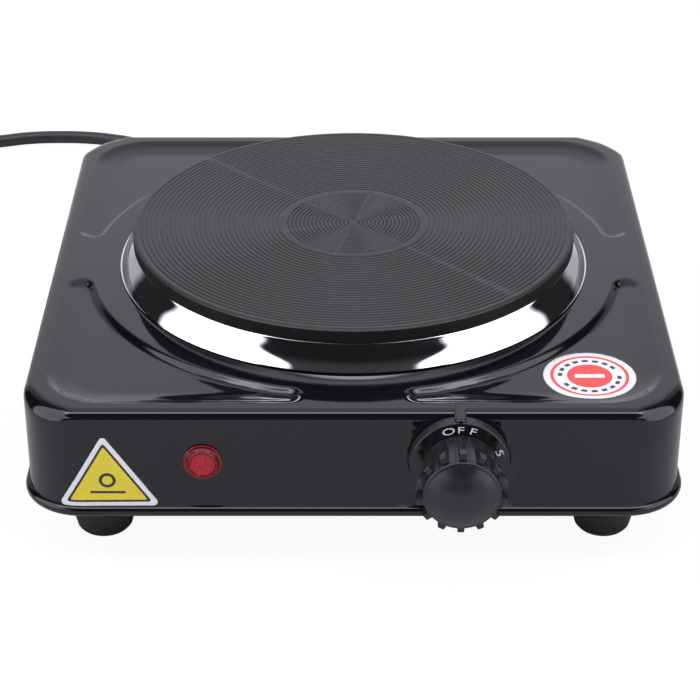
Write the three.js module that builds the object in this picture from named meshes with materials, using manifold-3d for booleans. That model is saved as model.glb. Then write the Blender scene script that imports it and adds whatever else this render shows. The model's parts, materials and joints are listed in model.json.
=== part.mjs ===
// Single electric hot plate: a cast iron plate on a square enamelled steel case, with a
// thermostat knob and an indicator lamp at the front and a mains lead at the back.
//
// Millimetres, +Z up, front face towards -Y. The part stands on z = 0.
// Everything is built in the case frame, whose Z axis is the axis of the cast iron plate.
// The last lines move the whole model so that its origin is at the middle of its footprint.

import * as THREE from 'three';
import { mergeVertices } from 'three/addons/utils/BufferGeometryUtils.js';
import Module from 'manifold-3d';

const wasm = await Module();
wasm.setup();

// ---------------------------------------------------------------- driving dimensions

const GAP = 0.3; // clearance between pieces that touch
const QUARTER = Math.PI / 2;
const FULL_TURN = Math.PI * 2;

const plate = {
  radius: 77.5,
  top: 71.8,
  rimDepth: 5,
  edgeRound: 1.2,
  neckRadius: 75.5,
  bottom: 55.9,
  hubRadius: 31,
  grooveOuter: 70,
  grooveTop: 62.3,
  studHole: 4,
  studHoleTop: 65.8,
};

const shell = {
  half: 106,
  cornerRadius: 18.5,
  edgeRadius: 4,
  thickness: 1.2,
  top: 58,
  bottom: 19.5,
  beadReach: 2.6,
  beadHeight: 3.6,
};

const openingRadius = 78; // the hole in the top that the plate's neck goes down through

const pad = { limit: 100.2, cornerRadius: 21, innerRadius: 92, endRadius: 5.3, slope: 3.7, depth: 2 };

const ring = { topRadius: 77.9, footRadius: 82.5, sheet: 0.9, tuck: 1.7 };

const foot = { place: 83.3, placeY: 82, topRadius: 10.4, height: 19.5, boreRadius: 4.4, hole: 2.4 };

// Holes in the walls and tabs, by radius.
const holes = { shaft: 4.4, screw: 1.9, cord: 5.6 };

const cover = { thickness: 1, edgeGap: 0.4 };

// Vent slots in the bottom cover, in a row on each side of the middle.
const vent = { halfLength: 14, halfWidth: 2.5, pitch: 20, place: 44, eachSide: 4 };

const tab = { size: 32, thickness: 1.5 };

const knob = {
  x: 33.4,
  z: 41.3,
  dialRadius: 15.8,
  dialFront: 4.9,
  ribFront: 20.8,
  rimFront: 23.6,
  gripFront: 26,
  faceRadius: 12.7,
  ribRadius: 15.2,
  ribs: 14,
  shaftRadius: 3,
};

const lamp = { x: -48, z: 40, capRadius: 6.3, capReach: 2.6, sleeveRadius: 5, sleeveLength: 20 };

const cord = { x: -60, z: 34, diameter: 5.6, reliefLength: 28 };
const coil = { x: -204.6, y: 178, inner: 25.3, outer: 37.5, bottom: 1.4, top: 12 };

// Heights and faces that follow from the driving dimensions.
const wallInside = shell.half - shell.thickness;
const ceiling = shell.top - shell.thickness;
const padFloor = shell.top - pad.depth;
const rimBottom = plate.top - plate.rimDepth;
const coverBottom = foot.height + GAP;
const coverTop = coverBottom + cover.thickness;
const tabBottom = coverTop + GAP;
const tabTop = tabBottom + tab.thickness;

// ---------------------------------------------------------------- colours and finishes

function finish(color, roughness, metalness) {
  return new THREE.MeshStandardMaterial({ color, roughness, metalness });
}

const enamel = finish('#1b1b1f', 0.12, 0.1);
const castIron = finish('#333236', 0.75, 0.4);
const chrome = finish('#d9dade', 0.06, 1);
const zincSteel = finish('#a9adb2', 0.35, 0.9);
const rubber = finish('#141415', 0.8, 0);
const blackPlastic = finish('#19191b', 0.25, 0);
const redLens = finish('#c01218', 0.15, 0);
const ceramic = finish('#e9e4d8', 0.6, 0);
const magnesia = finish('#cfc8b8', 0.9, 0);
const heatingAlloy = finish('#6d625a', 0.5, 0.8);
const copperAlloy = finish('#b6793f', 0.35, 0.9);
const clearGlass = finish('#e8d9c4', 0.1, 0);
const cordSheath = finish('#161617', 0.5, 0);
const brownWire = finish('#5a3420', 0.5, 0);
const blueWire = finish('#2a56a0', 0.5, 0);
const greenWire = finish('#5f9a35', 0.5, 0);
const yellowLabel = finish('#e6d019', 0.35, 0);
const whiteLabel = finish('#ececee', 0.35, 0);

// ---------------------------------------------------------------- geometry helpers

const model = new THREE.Group();

function addMesh(name, geometry, material, parent = model) {
  const mesh = new THREE.Mesh(geometry, material);
  mesh.name = name;
  parent.add(mesh);
  return mesh;
}

function addGroup(x, y, z, turnX = 0) {
  const group = new THREE.Group();
  group.position.set(x, y, z);
  group.rotation.x = turnX;
  model.add(group);
  return group;
}

// A group on a wall, whose own +Z points straight out of that wall.
const onFrontWall = (x, z) => addGroup(x, -shell.half, z, QUARTER);
const onRearWall = (x, z) => addGroup(x, shell.half, z, -QUARTER);

function toSolid(geometry) {
  const bare = geometry.clone();
  bare.deleteAttribute('normal');
  bare.deleteAttribute('uv');
  const merged = mergeVertices(bare, 1e-4);
  return new wasm.Manifold(new wasm.Mesh({
    numProp: 3,
    vertProperties: new Float32Array(merged.attributes.position.array),
    triVerts: new Uint32Array(merged.index.array),
  }));
}

function toGeometry(solid) {
  const made = solid.getMesh();
  const geometry = new THREE.BufferGeometry();
  geometry.setAttribute('position', new THREE.BufferAttribute(made.vertProperties, 3));
  geometry.setIndex(new THREE.BufferAttribute(made.triVerts, 1));
  return geometry;
}

function cutAway(geometry, ...tools) {
  return toGeometry(tools.reduce((left, tool) => left.subtract(toSolid(tool)), toSolid(geometry)));
}

function joined(geometry, ...others) {
  return toGeometry(others.reduce((sum, other) => sum.add(toSolid(other)), toSolid(geometry)));
}

function common(geometry, other) {
  return toGeometry(toSolid(geometry).intersect(toSolid(other)));
}

// A solid of revolution about Z. The profile holds [radius, z] pairs, from the bottom outwards.
function lathe(profile, segments) {
  const points = profile.map(([radius, z]) => new THREE.Vector2(radius, z));
  return new THREE.LatheGeometry(points, segments).rotateX(QUARTER);
}

// A ring: its section is closed on itself.
function latheRing(section, segments) {
  return lathe([...section, section[0]], segments);
}

function disc(radius, bottom, top, segments = 24) {
  return lathe([[0, bottom], [radius, bottom], [radius, top], [0, top]], segments);
}

function washer(inner, outer, bottom, top, segments = 24) {
  return latheRing([[inner, bottom], [outer, bottom], [outer, top], [inner, top]], segments);
}

function block(x0, x1, y0, y1, z0, z1) {
  const box = new THREE.BoxGeometry(x1 - x0, y1 - y0, z1 - z0);
  return box.translate((x0 + x1) / 2, (y0 + y1) / 2, (z0 + z1) / 2);
}

// A closed solid through outlines with equal numbers of points, from the lowest to the highest.
function stack(levels) {
  const count = levels[0].outline.length;
  const last = (levels.length - 1) * count;
  const positions = levels.flatMap(({ outline, z }) => outline.flatMap((p) => [p.x, p.y, z]));
  const triangles = [];
  for (let base = 0; base < last; base += count) {
    for (let i = 0; i < count; i += 1) {
      const here = base + i;
      const next = base + ((i + 1) % count);
      triangles.push(here, next, next + count, here, next + count, here + count);
    }
  }
  for (const [a, b, c] of THREE.ShapeUtils.triangulateShape(levels[0].outline, [])) {
    triangles.push(c, b, a);
  }
  for (const [a, b, c] of THREE.ShapeUtils.triangulateShape(levels.at(-1).outline, [])) {
    triangles.push(last + a, last + b, last + c);
  }
  const geometry = new THREE.BufferGeometry();
  geometry.setAttribute('position', new THREE.Float32BufferAttribute(positions, 3));
  geometry.setIndex(triangles);
  return geometry;
}

// Points on an arc, both ends included.
function arcPoints(x, y, radius, from, to, steps) {
  const points = [];
  for (let i = 0; i <= steps; i += 1) {
    const angle = from + ((to - from) * i) / steps;
    points.push(new THREE.Vector2(x + radius * Math.cos(angle), y + radius * Math.sin(angle)));
  }
  return points;
}

function roundedBox(halfX, halfY, radius, steps = 5) {
  const corners = [[1, 1], [-1, 1], [-1, -1], [1, -1]];
  return corners.flatMap(([sx, sy], i) => arcPoints(
    sx * (halfX - radius), sy * (halfY - radius), radius, i * QUARTER, (i + 1) * QUARTER, steps,
  ));
}

const roundedSquare = (half, radius) => roundedBox(half, half, radius);

function circle(radius, sides) {
  return arcPoints(0, 0, radius, 0, FULL_TURN * (1 - 1 / sides), sides - 1);
}

function tube(points, radius, sides, steps) {
  const path = new THREE.CatmullRomCurve3(points.map(([x, y, z]) => new THREE.Vector3(x, y, z)));
  const section = new THREE.Shape(circle(radius, sides));
  return new THREE.ExtrudeGeometry(section, { steps, extrudePath: path });
}

// A pan head screw on its own Z axis: shank from tip up to 0, head above 0, with a cross recess.
function screw(shankRadius, shankLength, headRadius, headHeight) {
  const sides = 8;
  const slot = { long: headRadius * 0.6, wide: headRadius * 0.13, deep: headHeight * 0.5 };
  const body = lathe([
    [0, -shankLength], [shankRadius, -shankLength], [shankRadius, 0], [headRadius, 0],
    [headRadius, headHeight * 0.6], [headRadius * 0.7, headHeight], [0, headHeight],
  ], sides);
  const bottom = headHeight - slot.deep;
  const top = headHeight + 1;
  return cutAway(
    body,
    block(-slot.long, slot.long, -slot.wide, slot.wide, bottom, top),
    block(-slot.wide, slot.wide, -slot.long, slot.long, bottom, top),
  );
}

const corners = [
  { name: 'front_left', sx: -1, sy: -1 },
  { name: 'front_right', sx: 1, sy: -1 },
  { name: 'rear_left', sx: -1, sy: 1 },
  { name: 'rear_right', sx: 1, sy: 1 },
];

// ---------------------------------------------------------------- case

// Levels of the outer skin: the rolled bead at the foot, the upright wall and the round top edge.
function skinLevels() {
  const bead = [0.5, 0.9, 1, 0.9, 0.5, 0].map((reach, i) => ({
    inset: -shell.beadReach * reach,
    z: shell.bottom + (shell.beadHeight * i) / 5,
  }));
  const edge = arcPoints(0, 0, shell.edgeRadius, 0, QUARTER, 4).map((p) => ({
    inset: shell.edgeRadius - p.x,
    z: shell.top - shell.edgeRadius + p.y,
  }));
  return [...bead, ...edge].map(({ inset, z }) => ({
    outline: roundedSquare(shell.half - inset, shell.cornerRadius - inset),
    z,
  }));
}

function cavityLevels() {
  const edge = shell.edgeRadius - shell.thickness;
  const radius = shell.cornerRadius - shell.thickness;
  const roof = arcPoints(0, 0, edge, 0, QUARTER, 3).map((p) => ({
    inset: edge - p.x,
    z: ceiling - edge + p.y,
  }));
  return [{ inset: 0, z: shell.bottom - 1 }, ...roof].map(({ inset, z }) => ({
    outline: roundedSquare(wallInside - inset, radius - inset),
    z,
  }));
}

// The outline of one corner pad: two straight sides, a wall around the plate and round ends.
// The offset moves it inwards, down the sloping wall of the recess.
function padOutline(offset) {
  const corner = pad.limit - pad.cornerRadius;
  const endNear = pad.limit - pad.endRadius;
  const endFar = Math.sqrt((pad.innerRadius + pad.endRadius) ** 2 - endNear ** 2);
  const endAngle = Math.atan2(endFar, endNear);
  const endRadius = pad.endRadius - offset;
  return [
    ...arcPoints(endNear, endFar, endRadius, endAngle - Math.PI, 0, 4),
    ...arcPoints(corner, corner, pad.cornerRadius - offset, 0, QUARTER, 6),
    ...arcPoints(endFar, endNear, endRadius, QUARTER, 3 * QUARTER - endAngle, 4),
    ...arcPoints(0, 0, pad.innerRadius + offset, QUARTER - endAngle, endAngle, 10).slice(1, -1),
  ];
}

function padRecess() {
  return stack([
    { outline: padOutline(pad.slope), z: padFloor },
    { outline: padOutline(0), z: shell.top },
    { outline: padOutline(0), z: shell.top + 1 },
  ]);
}

function padUnderside() {
  return stack([
    { outline: padOutline(pad.slope - shell.thickness), z: padFloor - shell.thickness },
    { outline: padOutline(-shell.thickness), z: shell.top - shell.thickness / 2 },
  ]);
}

// The shallow boss around the dial and the fixed pointer above it.
function knobBoss() {
  const inner = knob.dialRadius + 0.4;
  const boss = washer(inner, inner + 1.2, -shell.edgeRadius, 0.8, 32);
  return boss.rotateX(QUARTER).translate(knob.x, -shell.half, knob.z);
}

function pointer() {
  const halfWidth = 1.9;
  const bottom = knob.z + knob.dialRadius + GAP;
  const nose = -shell.half - knob.dialFront;
  const outline = [
    new THREE.Vector2(halfWidth, -shell.half + 6),
    new THREE.Vector2(-halfWidth, -shell.half + 6),
    ...arcPoints(0, nose + halfWidth, halfWidth, Math.PI, FULL_TURN, 6),
  ];
  const rib = stack([{ outline, z: bottom }, { outline, z: shell.top + GAP }]);
  return rib.translate(knob.x, 0, 0);
}

// The small plate inside a corner that takes the foot screw.
function cornerTab({ sx, sy }) {
  const reach = shell.half - shell.thickness / 2;
  const box = block(reach - tab.size, reach, reach - tab.size, reach, tabBottom, tabTop);
  box.translate(-reach, -reach, 0);
  if (sx < 0) box.translate(tab.size, 0, 0);
  if (sy < 0) box.translate(0, tab.size, 0);
  box.translate(sx * reach, sy * reach, 0);
  const outline = roundedSquare(reach, shell.cornerRadius - shell.thickness / 2);
  return common(box, stack([{ outline, z: tabBottom - 1 }, { outline, z: tabTop + 1 }]));
}

function wallHole(x, z, radius, side, sides = 16) {
  const hole = disc(radius, -9, 9, sides);
  return hole.rotateX(QUARTER).translate(x, side * shell.half, z);
}

const thermostatScrewOffset = 11;

function buildCase() {
  const quarterTurns = [0, 1, 2, 3].map((turn) => turn * QUARTER);
  const opening = disc(openingRadius, ceiling - 1, shell.top + 1, 48);
  const skin = joined(stack(skinLevels()), knobBoss(), pointer());
  const hollow = cutAway(skin, stack(cavityLevels()), opening);
  const pressed = joined(
    hollow,
    ...quarterTurns.map((angle) => padUnderside().rotateZ(angle)),
    ...corners.map(cornerTab),
  );
  const footHoles = corners.map(({ sx, sy }) => disc(foot.hole, tabBottom - 1, tabTop + 1, 12)
    .translate(sx * foot.place, sy * foot.placeY, 0));
  const earthHole = disc(holes.screw, tabBottom - 1, tabTop + 1, 10).translate(earth.x, earth.y, 0);
  const geometry = cutAway(
    pressed,
    ...quarterTurns.map((angle) => padRecess().rotateZ(angle)),
    ...footHoles,
    earthHole,
    wallHole(knob.x, knob.z, holes.shaft, -1),
    wallHole(knob.x - thermostatScrewOffset, knob.z, holes.screw, -1, 10),
    wallHole(knob.x + thermostatScrewOffset, knob.z, holes.screw, -1, 10),
    wallHole(lamp.x, lamp.z, lamp.sleeveRadius + GAP, -1),
    wallHole(cord.x, cord.z, holes.cord, 1),
  );
  addMesh('top_housing', geometry, enamel);
}

// A slot with round ends, long in the Y direction.
function ventSlot(x, y) {
  const { halfLength, halfWidth } = vent;
  const straight = halfLength - halfWidth;
  return new THREE.Path([
    ...arcPoints(x, y + straight, halfWidth, 0, Math.PI, 4),
    ...arcPoints(x, y - straight, halfWidth, Math.PI, FULL_TURN, 4),
  ]);
}

function buildBottomCover() {
  const half = wallInside - cover.edgeGap;
  const shape = new THREE.Shape(roundedSquare(half, shell.cornerRadius - 1.6));
  for (const side of [-1, 1]) {
    for (let i = -vent.eachSide; i <= vent.eachSide; i += 1) {
      shape.holes.push(ventSlot(i * vent.pitch, side * vent.place));
    }
  }
  for (const { sx, sy } of corners) {
    const hole = circle(foot.hole, 12).map((p) => p.add(
      new THREE.Vector2(sx * foot.place, sy * foot.placeY),
    ));
    shape.holes.push(new THREE.Path(hole));
  }
  const geometry = new THREE.ExtrudeGeometry(shape, { depth: cover.thickness, bevelEnabled: false });
  addMesh('bottom_cover', geometry.translate(0, 0, coverBottom), zincSteel);
}

function buildFeet() {
  const seat = 9;
  const profile = [
    [foot.boreRadius, 0], [foot.topRadius - 2.4, 0], [foot.topRadius - 1.2, 1.4],
    [foot.topRadius - 0.5, 4.5], [foot.topRadius, 10],
    [foot.topRadius, foot.height], [foot.hole, foot.height], [foot.hole, seat],
    [foot.boreRadius, seat],
  ];
  const shank = tabTop + 2 - (seat - GAP);
  for (const { name, sx, sy } of corners) {
    const x = sx * foot.place;
    const y = sy * foot.placeY;
    addMesh(`foot_${name}`, latheRing(profile, 16), rubber).position.set(x, y, 0);
    const fixing = screw(2, shank, 3.9, 3).rotateX(Math.PI);
    addMesh(`foot_screw_${name}`, fixing, zincSteel).position.set(x, y, seat - GAP);
  }
}

// ---------------------------------------------------------------- plate and heating element

const element = { coilZ: 59.7, coilRadius: 1.8, terminalX: 8, terminalY: -50, coverRadius: 73.5 };
const elementCover = { bottom: 54.5, top: 55.5 };
const insulation = { bottom: 56.2, top: 57.5 };
const carrier = { halfWidth: 11, sheet: 2.5, web: 46, reach: 85.5 };

function buildPlate() {
  const { edgeRound: round } = plate;
  const profile = [
    [0, plate.studHoleTop], [plate.studHole, plate.studHoleTop], [plate.studHole, plate.bottom],
    [plate.hubRadius, plate.bottom], [plate.hubRadius, plate.grooveTop],
    [plate.grooveOuter, plate.grooveTop], [plate.grooveOuter, plate.bottom],
    [plate.neckRadius, plate.bottom], [plate.neckRadius, rimBottom], [plate.radius, rimBottom],
    [plate.radius, plate.top - round], [plate.radius - round, plate.top], [0, plate.top],
  ];
  addMesh('cast_iron_plate', lathe(profile, 48), castIron);
}

function buildSpillRing() {
  const top = rimBottom - GAP;
  const footZ = shell.top + GAP;
  const { topRadius, footRadius, sheet, tuck } = ring;
  const bulge = 0.35;
  const middle = [(topRadius + footRadius) / 2 + bulge, (top + footZ) / 2 + bulge];
  const section = [
    [footRadius - sheet, footZ], [footRadius, footZ], middle, [topRadius, top],
    [topRadius - tuck, top], [topRadius - tuck, top - sheet], [topRadius - sheet, top - sheet],
    [middle[0] - sheet, middle[1] - 0.2],
  ];
  addMesh('spill_ring', latheRing(section, 48), chrome);
}

function buildHeatingCoil() {
  const turns = 2.5;
  const steps = 56;
  const points = [];
  for (let i = 0; i <= steps; i += 1) {
    const angle = -QUARTER + (i / steps) * turns * FULL_TURN;
    const radius = 38 + (26 * i) / steps;
    points.push([radius * Math.cos(angle), radius * Math.sin(angle), element.coilZ]);
  }
  addMesh('heating_coil', tube(points, element.coilRadius, 6, steps), heatingAlloy);
}

function terminalHoles(radius, bottom, top) {
  return [-1, 1].map((side) => disc(radius, bottom, top, 12)
    .translate(side * element.terminalX, element.terminalY, 0));
}

function buildElementLayers() {
  const play = 0.5;
  const [inner, outer] = [plate.hubRadius + play, plate.grooveOuter - play];
  const layer = washer(inner, outer, insulation.bottom, insulation.top, 32);
  const layerHoles = terminalHoles(3.8, insulation.bottom - 1, insulation.top + 1);
  addMesh('coil_insulation', cutAway(layer, ...layerHoles), magnesia);
  const sheet = washer(4.4, element.coverRadius, elementCover.bottom, elementCover.top, 32);
  const sheetHoles = terminalHoles(3.8, elementCover.bottom - 1, elementCover.top + 1);
  addMesh('element_cover', cutAway(sheet, ...sheetHoles), zincSteel);
  [-1, 1].forEach((side, i) => {
    const terminal = lathe([
      [0, 44], [1.2, 44], [1.2, 47], [3.4, 47], [3.4, insulation.top], [0, insulation.top],
    ], 10);
    terminal.translate(side * element.terminalX, element.terminalY, 0);
    addMesh(`coil_terminal_${i + 1}`, terminal, ceramic);
  });
}

// The strap that pulls the plate down onto the case, seen from the front as a hat section.
function buildCarrier() {
  const top = ceiling - GAP;
  const { sheet, web, reach } = carrier;
  const half = [
    [0, web - sheet], [74, web - sheet], [80, top - sheet], [reach, top - sheet], [reach, top],
    [78.5, top], [72.5, web], [0, web],
  ];
  const mirrored = half.slice(1, -1).reverse().map(([x, z]) => [-x, z]);
  const outline = [...half, ...mirrored].map(([x, z]) => new THREE.Vector2(x, z));
  const settings = { depth: carrier.halfWidth * 2, bevelEnabled: false };
  const strap = new THREE.ExtrudeGeometry(new THREE.Shape(outline), settings);
  strap.rotateX(QUARTER).translate(0, carrier.halfWidth, 0);
  const hole = disc(4.4, web - sheet - 1, web + 1, 16);
  addMesh('carrier_bar', cutAway(strap, hole), zincSteel);

  const nutTop = web - sheet - GAP;
  const nutHeight = 7.4;
  const nut = joined(disc(8.5, nutTop - 1.4, nutTop), disc(7.2, nutTop - nutHeight, nutTop - 1, 6));
  addMesh('flange_nut', cutAway(nut, disc(4.1, nutTop - nutHeight - 1, nutTop + 1, 16)), zincSteel);
  const studBottom = nutTop - nutHeight - 2.5;
  addMesh('plate_stud', disc(plate.studHole - 0.4, studBottom, plate.studHoleTop - GAP, 12), zincSteel);
}

// ---------------------------------------------------------------- knob and thermostat

// Distances along the shaft are measured outwards from the front wall's outer face.
const control = {
  bracketOut: -1.6,
  bracketIn: -3.1,
  collarIn: -4.8,
  shaftIn: -8.6,
  armIn: -16.6,
  armLength: 20,
  pivotX: -8.5,
  pinRadius: 1.6,
  fixedIn: -21.6,
  bimetalIn: -24,
  blockIn: -27,
};

function gripOutline(ribRadius, valleyRadius) {
  const steps = [[0, 1], [0.3, 1], [0.42, 0.3], [0.65, 0], [0.88, 0.3]];
  const outline = [];
  for (let rib = 0; rib < knob.ribs; rib += 1) {
    for (const [part, height] of steps) {
      const angle = (FULL_TURN * (rib + part - 0.15)) / knob.ribs + QUARTER;
      const radius = valleyRadius + (ribRadius - valleyRadius) * height;
      outline.push(new THREE.Vector2(radius * Math.cos(angle), radius * Math.sin(angle)));
    }
  }
  return outline;
}

function buildKnob() {
  const group = onFrontWall(knob.x, knob.z);
  const { dialRadius, dialFront, ribFront, rimFront, gripFront, faceRadius, shaftRadius } = knob;
  const bore = shaftRadius + GAP;
  const rimInside = dialRadius - 1.5;
  const web = dialFront - 1.5;
  const dial = latheRing([
    [bore, 0.6], [6, 0.6], [6, web], [rimInside, web], [rimInside, 0.4], [dialRadius, 0.4],
    [dialRadius, dialFront - 0.5], [dialRadius - 0.5, dialFront], [bore, dialFront],
  ], 32);
  addMesh('knob_dial', dial, blackPlastic, group);

  const gripBack = dialFront + GAP;
  const round = (radius, z) => ({ outline: gripOutline(radius, radius), z });
  const grip = stack([
    round(10, gripBack),
    { outline: gripOutline(12.2, 10.7), z: gripBack + 4 },
    { outline: gripOutline(knob.ribRadius, 10.8), z: ribFront },
    round(faceRadius, ribFront + 0.3),
    round(faceRadius, rimFront),
    round(faceRadius * 0.7, rimFront + (gripFront - rimFront) * 0.55),
    round(faceRadius * 0.35, gripFront),
  ]);
  const shaftTip = gripFront - 5.2;
  addMesh('knob_grip', cutAway(grip, disc(bore, 0, shaftTip + GAP, 16)), blackPlastic, group);

  const { collarIn, bracketIn, shaftIn } = control;
  const shaft = lathe([
    [0, shaftIn], [shaftRadius, shaftIn], [shaftRadius, collarIn], [5, collarIn],
    [5, bracketIn - GAP], [shaftRadius, bracketIn - GAP], [shaftRadius, shaftTip], [0, shaftTip],
  ], 16);
  const flat = 1.8;
  const flatCut = block(-shaftRadius, shaftRadius, flat, shaftRadius + 1, 1, shaftTip + 1);
  addMesh('thermostat_shaft', cutAway(shaft, flatCut), zincSteel, group);
  const spring = block(-1.2, 1.2, flat + GAP, flat + 0.9, gripBack + 1, shaftTip - 1);
  addMesh('knob_spring', spring, zincSteel, group);
}

function buildThermostat() {
  const group = onFrontWall(knob.x, knob.z);
  const { bracketOut, bracketIn, shaftIn, armIn, fixedIn, bimetalIn, blockIn } = control;
  const boreTool = disc(knob.shaftRadius + GAP, -30, 0, 16);
  const screwHoles = [-1, 1].map((side) => disc(holes.screw, -5, 0, 10)
    .translate(side * thermostatScrewOffset, 0, 0));
  const bracket = block(-20, 20, -12, 12, bracketIn, bracketOut);
  addMesh('thermostat_bracket', cutAway(bracket, boreTool, ...screwHoles), zincSteel, group);
  ['left', 'right'].forEach((name, i) => {
    const place = (2 * i - 1) * thermostatScrewOffset;
    const fixing = screw(1.6, 5, 2.9, 1.7);
    addMesh(`thermostat_screw_${name}`, fixing, zincSteel, group).position.set(place, 0, GAP);
  });

  // The insulating block stands beside the shaft, with slots for the strips that it holds.
  const face = control.pivotX - GAP;
  const slots = [fixedIn, bimetalIn].map((level) => block(
    face - 6, face + 1, -3.5, 3.5, level - 0.7, level + 0.7,
  ));
  const insulator = block(face - 10, face, -7, 7, blockIn, bracketIn - 2.4);
  addMesh('thermostat_block', cutAway(insulator, ...slots), ceramic, group);

  const stripStart = face - 5.6;
  const tip = control.pivotX + control.armLength;
  const fixed = joined(
    block(stripStart, tip, -3, 3, fixedIn - 0.3, fixedIn + 0.3),
    disc(1.8, fixedIn, fixedIn + 1.1, 10).translate(tip - 2.5, 0, 0),
  );
  addMesh('fixed_contact', fixed, copperAlloy, group);
  const bimetal = block(stripStart, tip + 1, -3, 3, bimetalIn - 0.4, bimetalIn + 0.4);
  addMesh('bimetal_strip', bimetal, zincSteel, group);

  const arm = joined(
    block(control.pivotX, tip, -3, 3, armIn - 0.3, armIn + 0.3),
    disc(1.8, armIn - 1, armIn, 10).translate(tip - 2.5, 0, 0),
  );
  addMesh('contact_arm', arm, copperAlloy, group);
  const pin = disc(control.pinRadius, armIn + 0.3 + GAP, shaftIn - GAP, 12);
  addMesh('adjusting_pin', pin, ceramic, group);
}

// ---------------------------------------------------------------- indicator lamp

function buildLamp() {
  const group = onFrontWall(lamp.x, lamp.z);
  const { capRadius, capReach, sleeveRadius, sleeveLength } = lamp;
  const sleeveBore = sleeveRadius - 0.8;
  const plug = sleeveBore - GAP;
  const lens = lathe([
    [0, capReach - 1], [plug - 0.9, capReach - 1], [plug - 0.9, -4], [plug, -4], [plug, GAP],
    [capRadius, GAP], [capRadius, capReach - 0.7], [capRadius - 0.7, capReach], [0, capReach],
  ], 24);
  addMesh('indicator_lens', lens, redLens, group);
  const sleeve = lathe([
    [0, -sleeveLength], [sleeveRadius, -sleeveLength], [sleeveRadius, 0], [sleeveBore, 0],
    [sleeveBore, 2 - sleeveLength], [0, 2 - sleeveLength],
  ], 16);
  addMesh('lamp_sleeve', sleeve, blackPlastic, group);
  const bulb = lathe([
    [0, 2.4 - sleeveLength], [2.4, 2.4 - sleeveLength], [2.4, -1.6], [1.4, -0.2], [0, 0.2],
  ], 12);
  addMesh('neon_bulb', bulb, clearGlass, group);
  const inside = -shell.thickness - GAP;
  addMesh('lamp_clip', washer(sleeveRadius + GAP, 8.2, inside - 1.2, inside, 16), zincSteel, group);
}

// ---------------------------------------------------------------- wiring

const terminals = { x0: -62, x1: -30, y0: 64, y1: 78, height: 12, pitch: 10, firstX: -56 };
const earth = { x: -77, y: 95 };
const wireRadius = 0.9;

function addWire(name, points, material) {
  addMesh(name, tube(points, wireRadius, 6, points.length * 2), material);
}

function buildTerminalBlock() {
  const bottom = coverTop + GAP;
  const top = bottom + terminals.height;
  const places = [0, 1, 2].map((i) => terminals.firstX + i * terminals.pitch);
  const middleY = (terminals.y0 + terminals.y1) / 2;
  const body = block(terminals.x0, terminals.x1, terminals.y0, terminals.y1, bottom, top);
  const screwHoles = places.map((x) => disc(holes.screw, top - 7, top + 1, 10)
    .translate(x, middleY, 0));
  addMesh('terminal_block', cutAway(body, ...screwHoles), ceramic);
  places.forEach((x, i) => {
    const fixing = screw(1.6, 6, 2.9, 1.8);
    addMesh(`terminal_screw_${i + 1}`, fixing, copperAlloy).position.set(x, middleY, top + GAP);
  });
  const earthScrew = screw(1.6, 1.6, 3.2, 2);
  addMesh('earth_screw', earthScrew, zincSteel).position.set(earth.x, earth.y, tabTop + GAP);
}

function buildWires() {
  const inlet = shell.half - 7;
  const rear = terminals.y1 + GAP;
  const front = terminals.y0 - GAP;
  const [blockLamp, blockN, blockL] = [0, 1, 2].map((i) => terminals.firstX + i * terminals.pitch);
  const level = 27;
  const wall = -shell.half;
  const lampBack = wall + lamp.sleeveLength + GAP;
  const pin = element.terminalX;
  const pinY = element.terminalY;
  addWire('supply_neutral_wire', [
    [cord.x - 2.2, inlet, 33], [cord.x - 1, 91, 32], [-50, 85, 28.6],
    [blockN, rear + 3, level], [blockN, rear, level],
  ], blueWire);
  addWire('supply_live_wire', [
    [cord.x + 2.2, inlet, 33], [cord.x + 2.8, inlet - 2, 33], [-54, 92, 32.4], [-40, 88, 29],
    [blockL, rear + 3, level], [blockL, rear, level],
  ], brownWire);
  addWire('earth_wire', [
    [cord.x, inlet, 35.4], [-61, 94.5, 35.2], [-66, 93, 32], [-70.5, 94, 27], [-72.6, 95, 24.2],
  ], greenWire);
  addWire('return_wire', [
    [blockN, front, level], [blockN, front - 4, level], [-47, 50, 26], [-43, 26, 25],
    [-32, -12, 25], [-17, -38, 27], [-pin - 0.6, pinY, 34], [-pin, pinY, 43.6],
  ], blueWire);
  addWire('live_wire', [
    [blockL, front, level], [blockL, front - 4, level], [-44, 50, 26], [-26, 14, 25],
    [-4, -30, 25], [9, -62, 28], [knob.x - 21, wall + 26.6, knob.z - 4.5],
    [knob.x - 20, wall + 19.6, knob.z - 2.5],
  ], brownWire);
  addWire('load_wire', [
    [knob.x - 6.4, wall + 29, knob.z - 4], [knob.x - 9, -69, 37], [17, -60, 36.5], [10, -53, 38.5],
    [pin, pinY, 43.6],
  ], brownWire);
  addWire('lamp_lead_1', [
    [lamp.x - 2, lampBack, lamp.z], [-52, -74, 36], [-60, -40, 27], [-64, 10, 25], [-60, 46, 25],
    [blockLamp, front - 4, level], [blockLamp, front, level],
  ], blueWire);
  addWire('lamp_lead_2', [
    [lamp.x + 2, lampBack, lamp.z], [-43, -77, 38], [-25, -68, 35], [-4, -60, 36.5], [4.6, -54.5, 42.5],
    [5.6, -52.4, 45.4],
  ], brownWire);
}

// ---------------------------------------------------------------- mains lead

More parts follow.
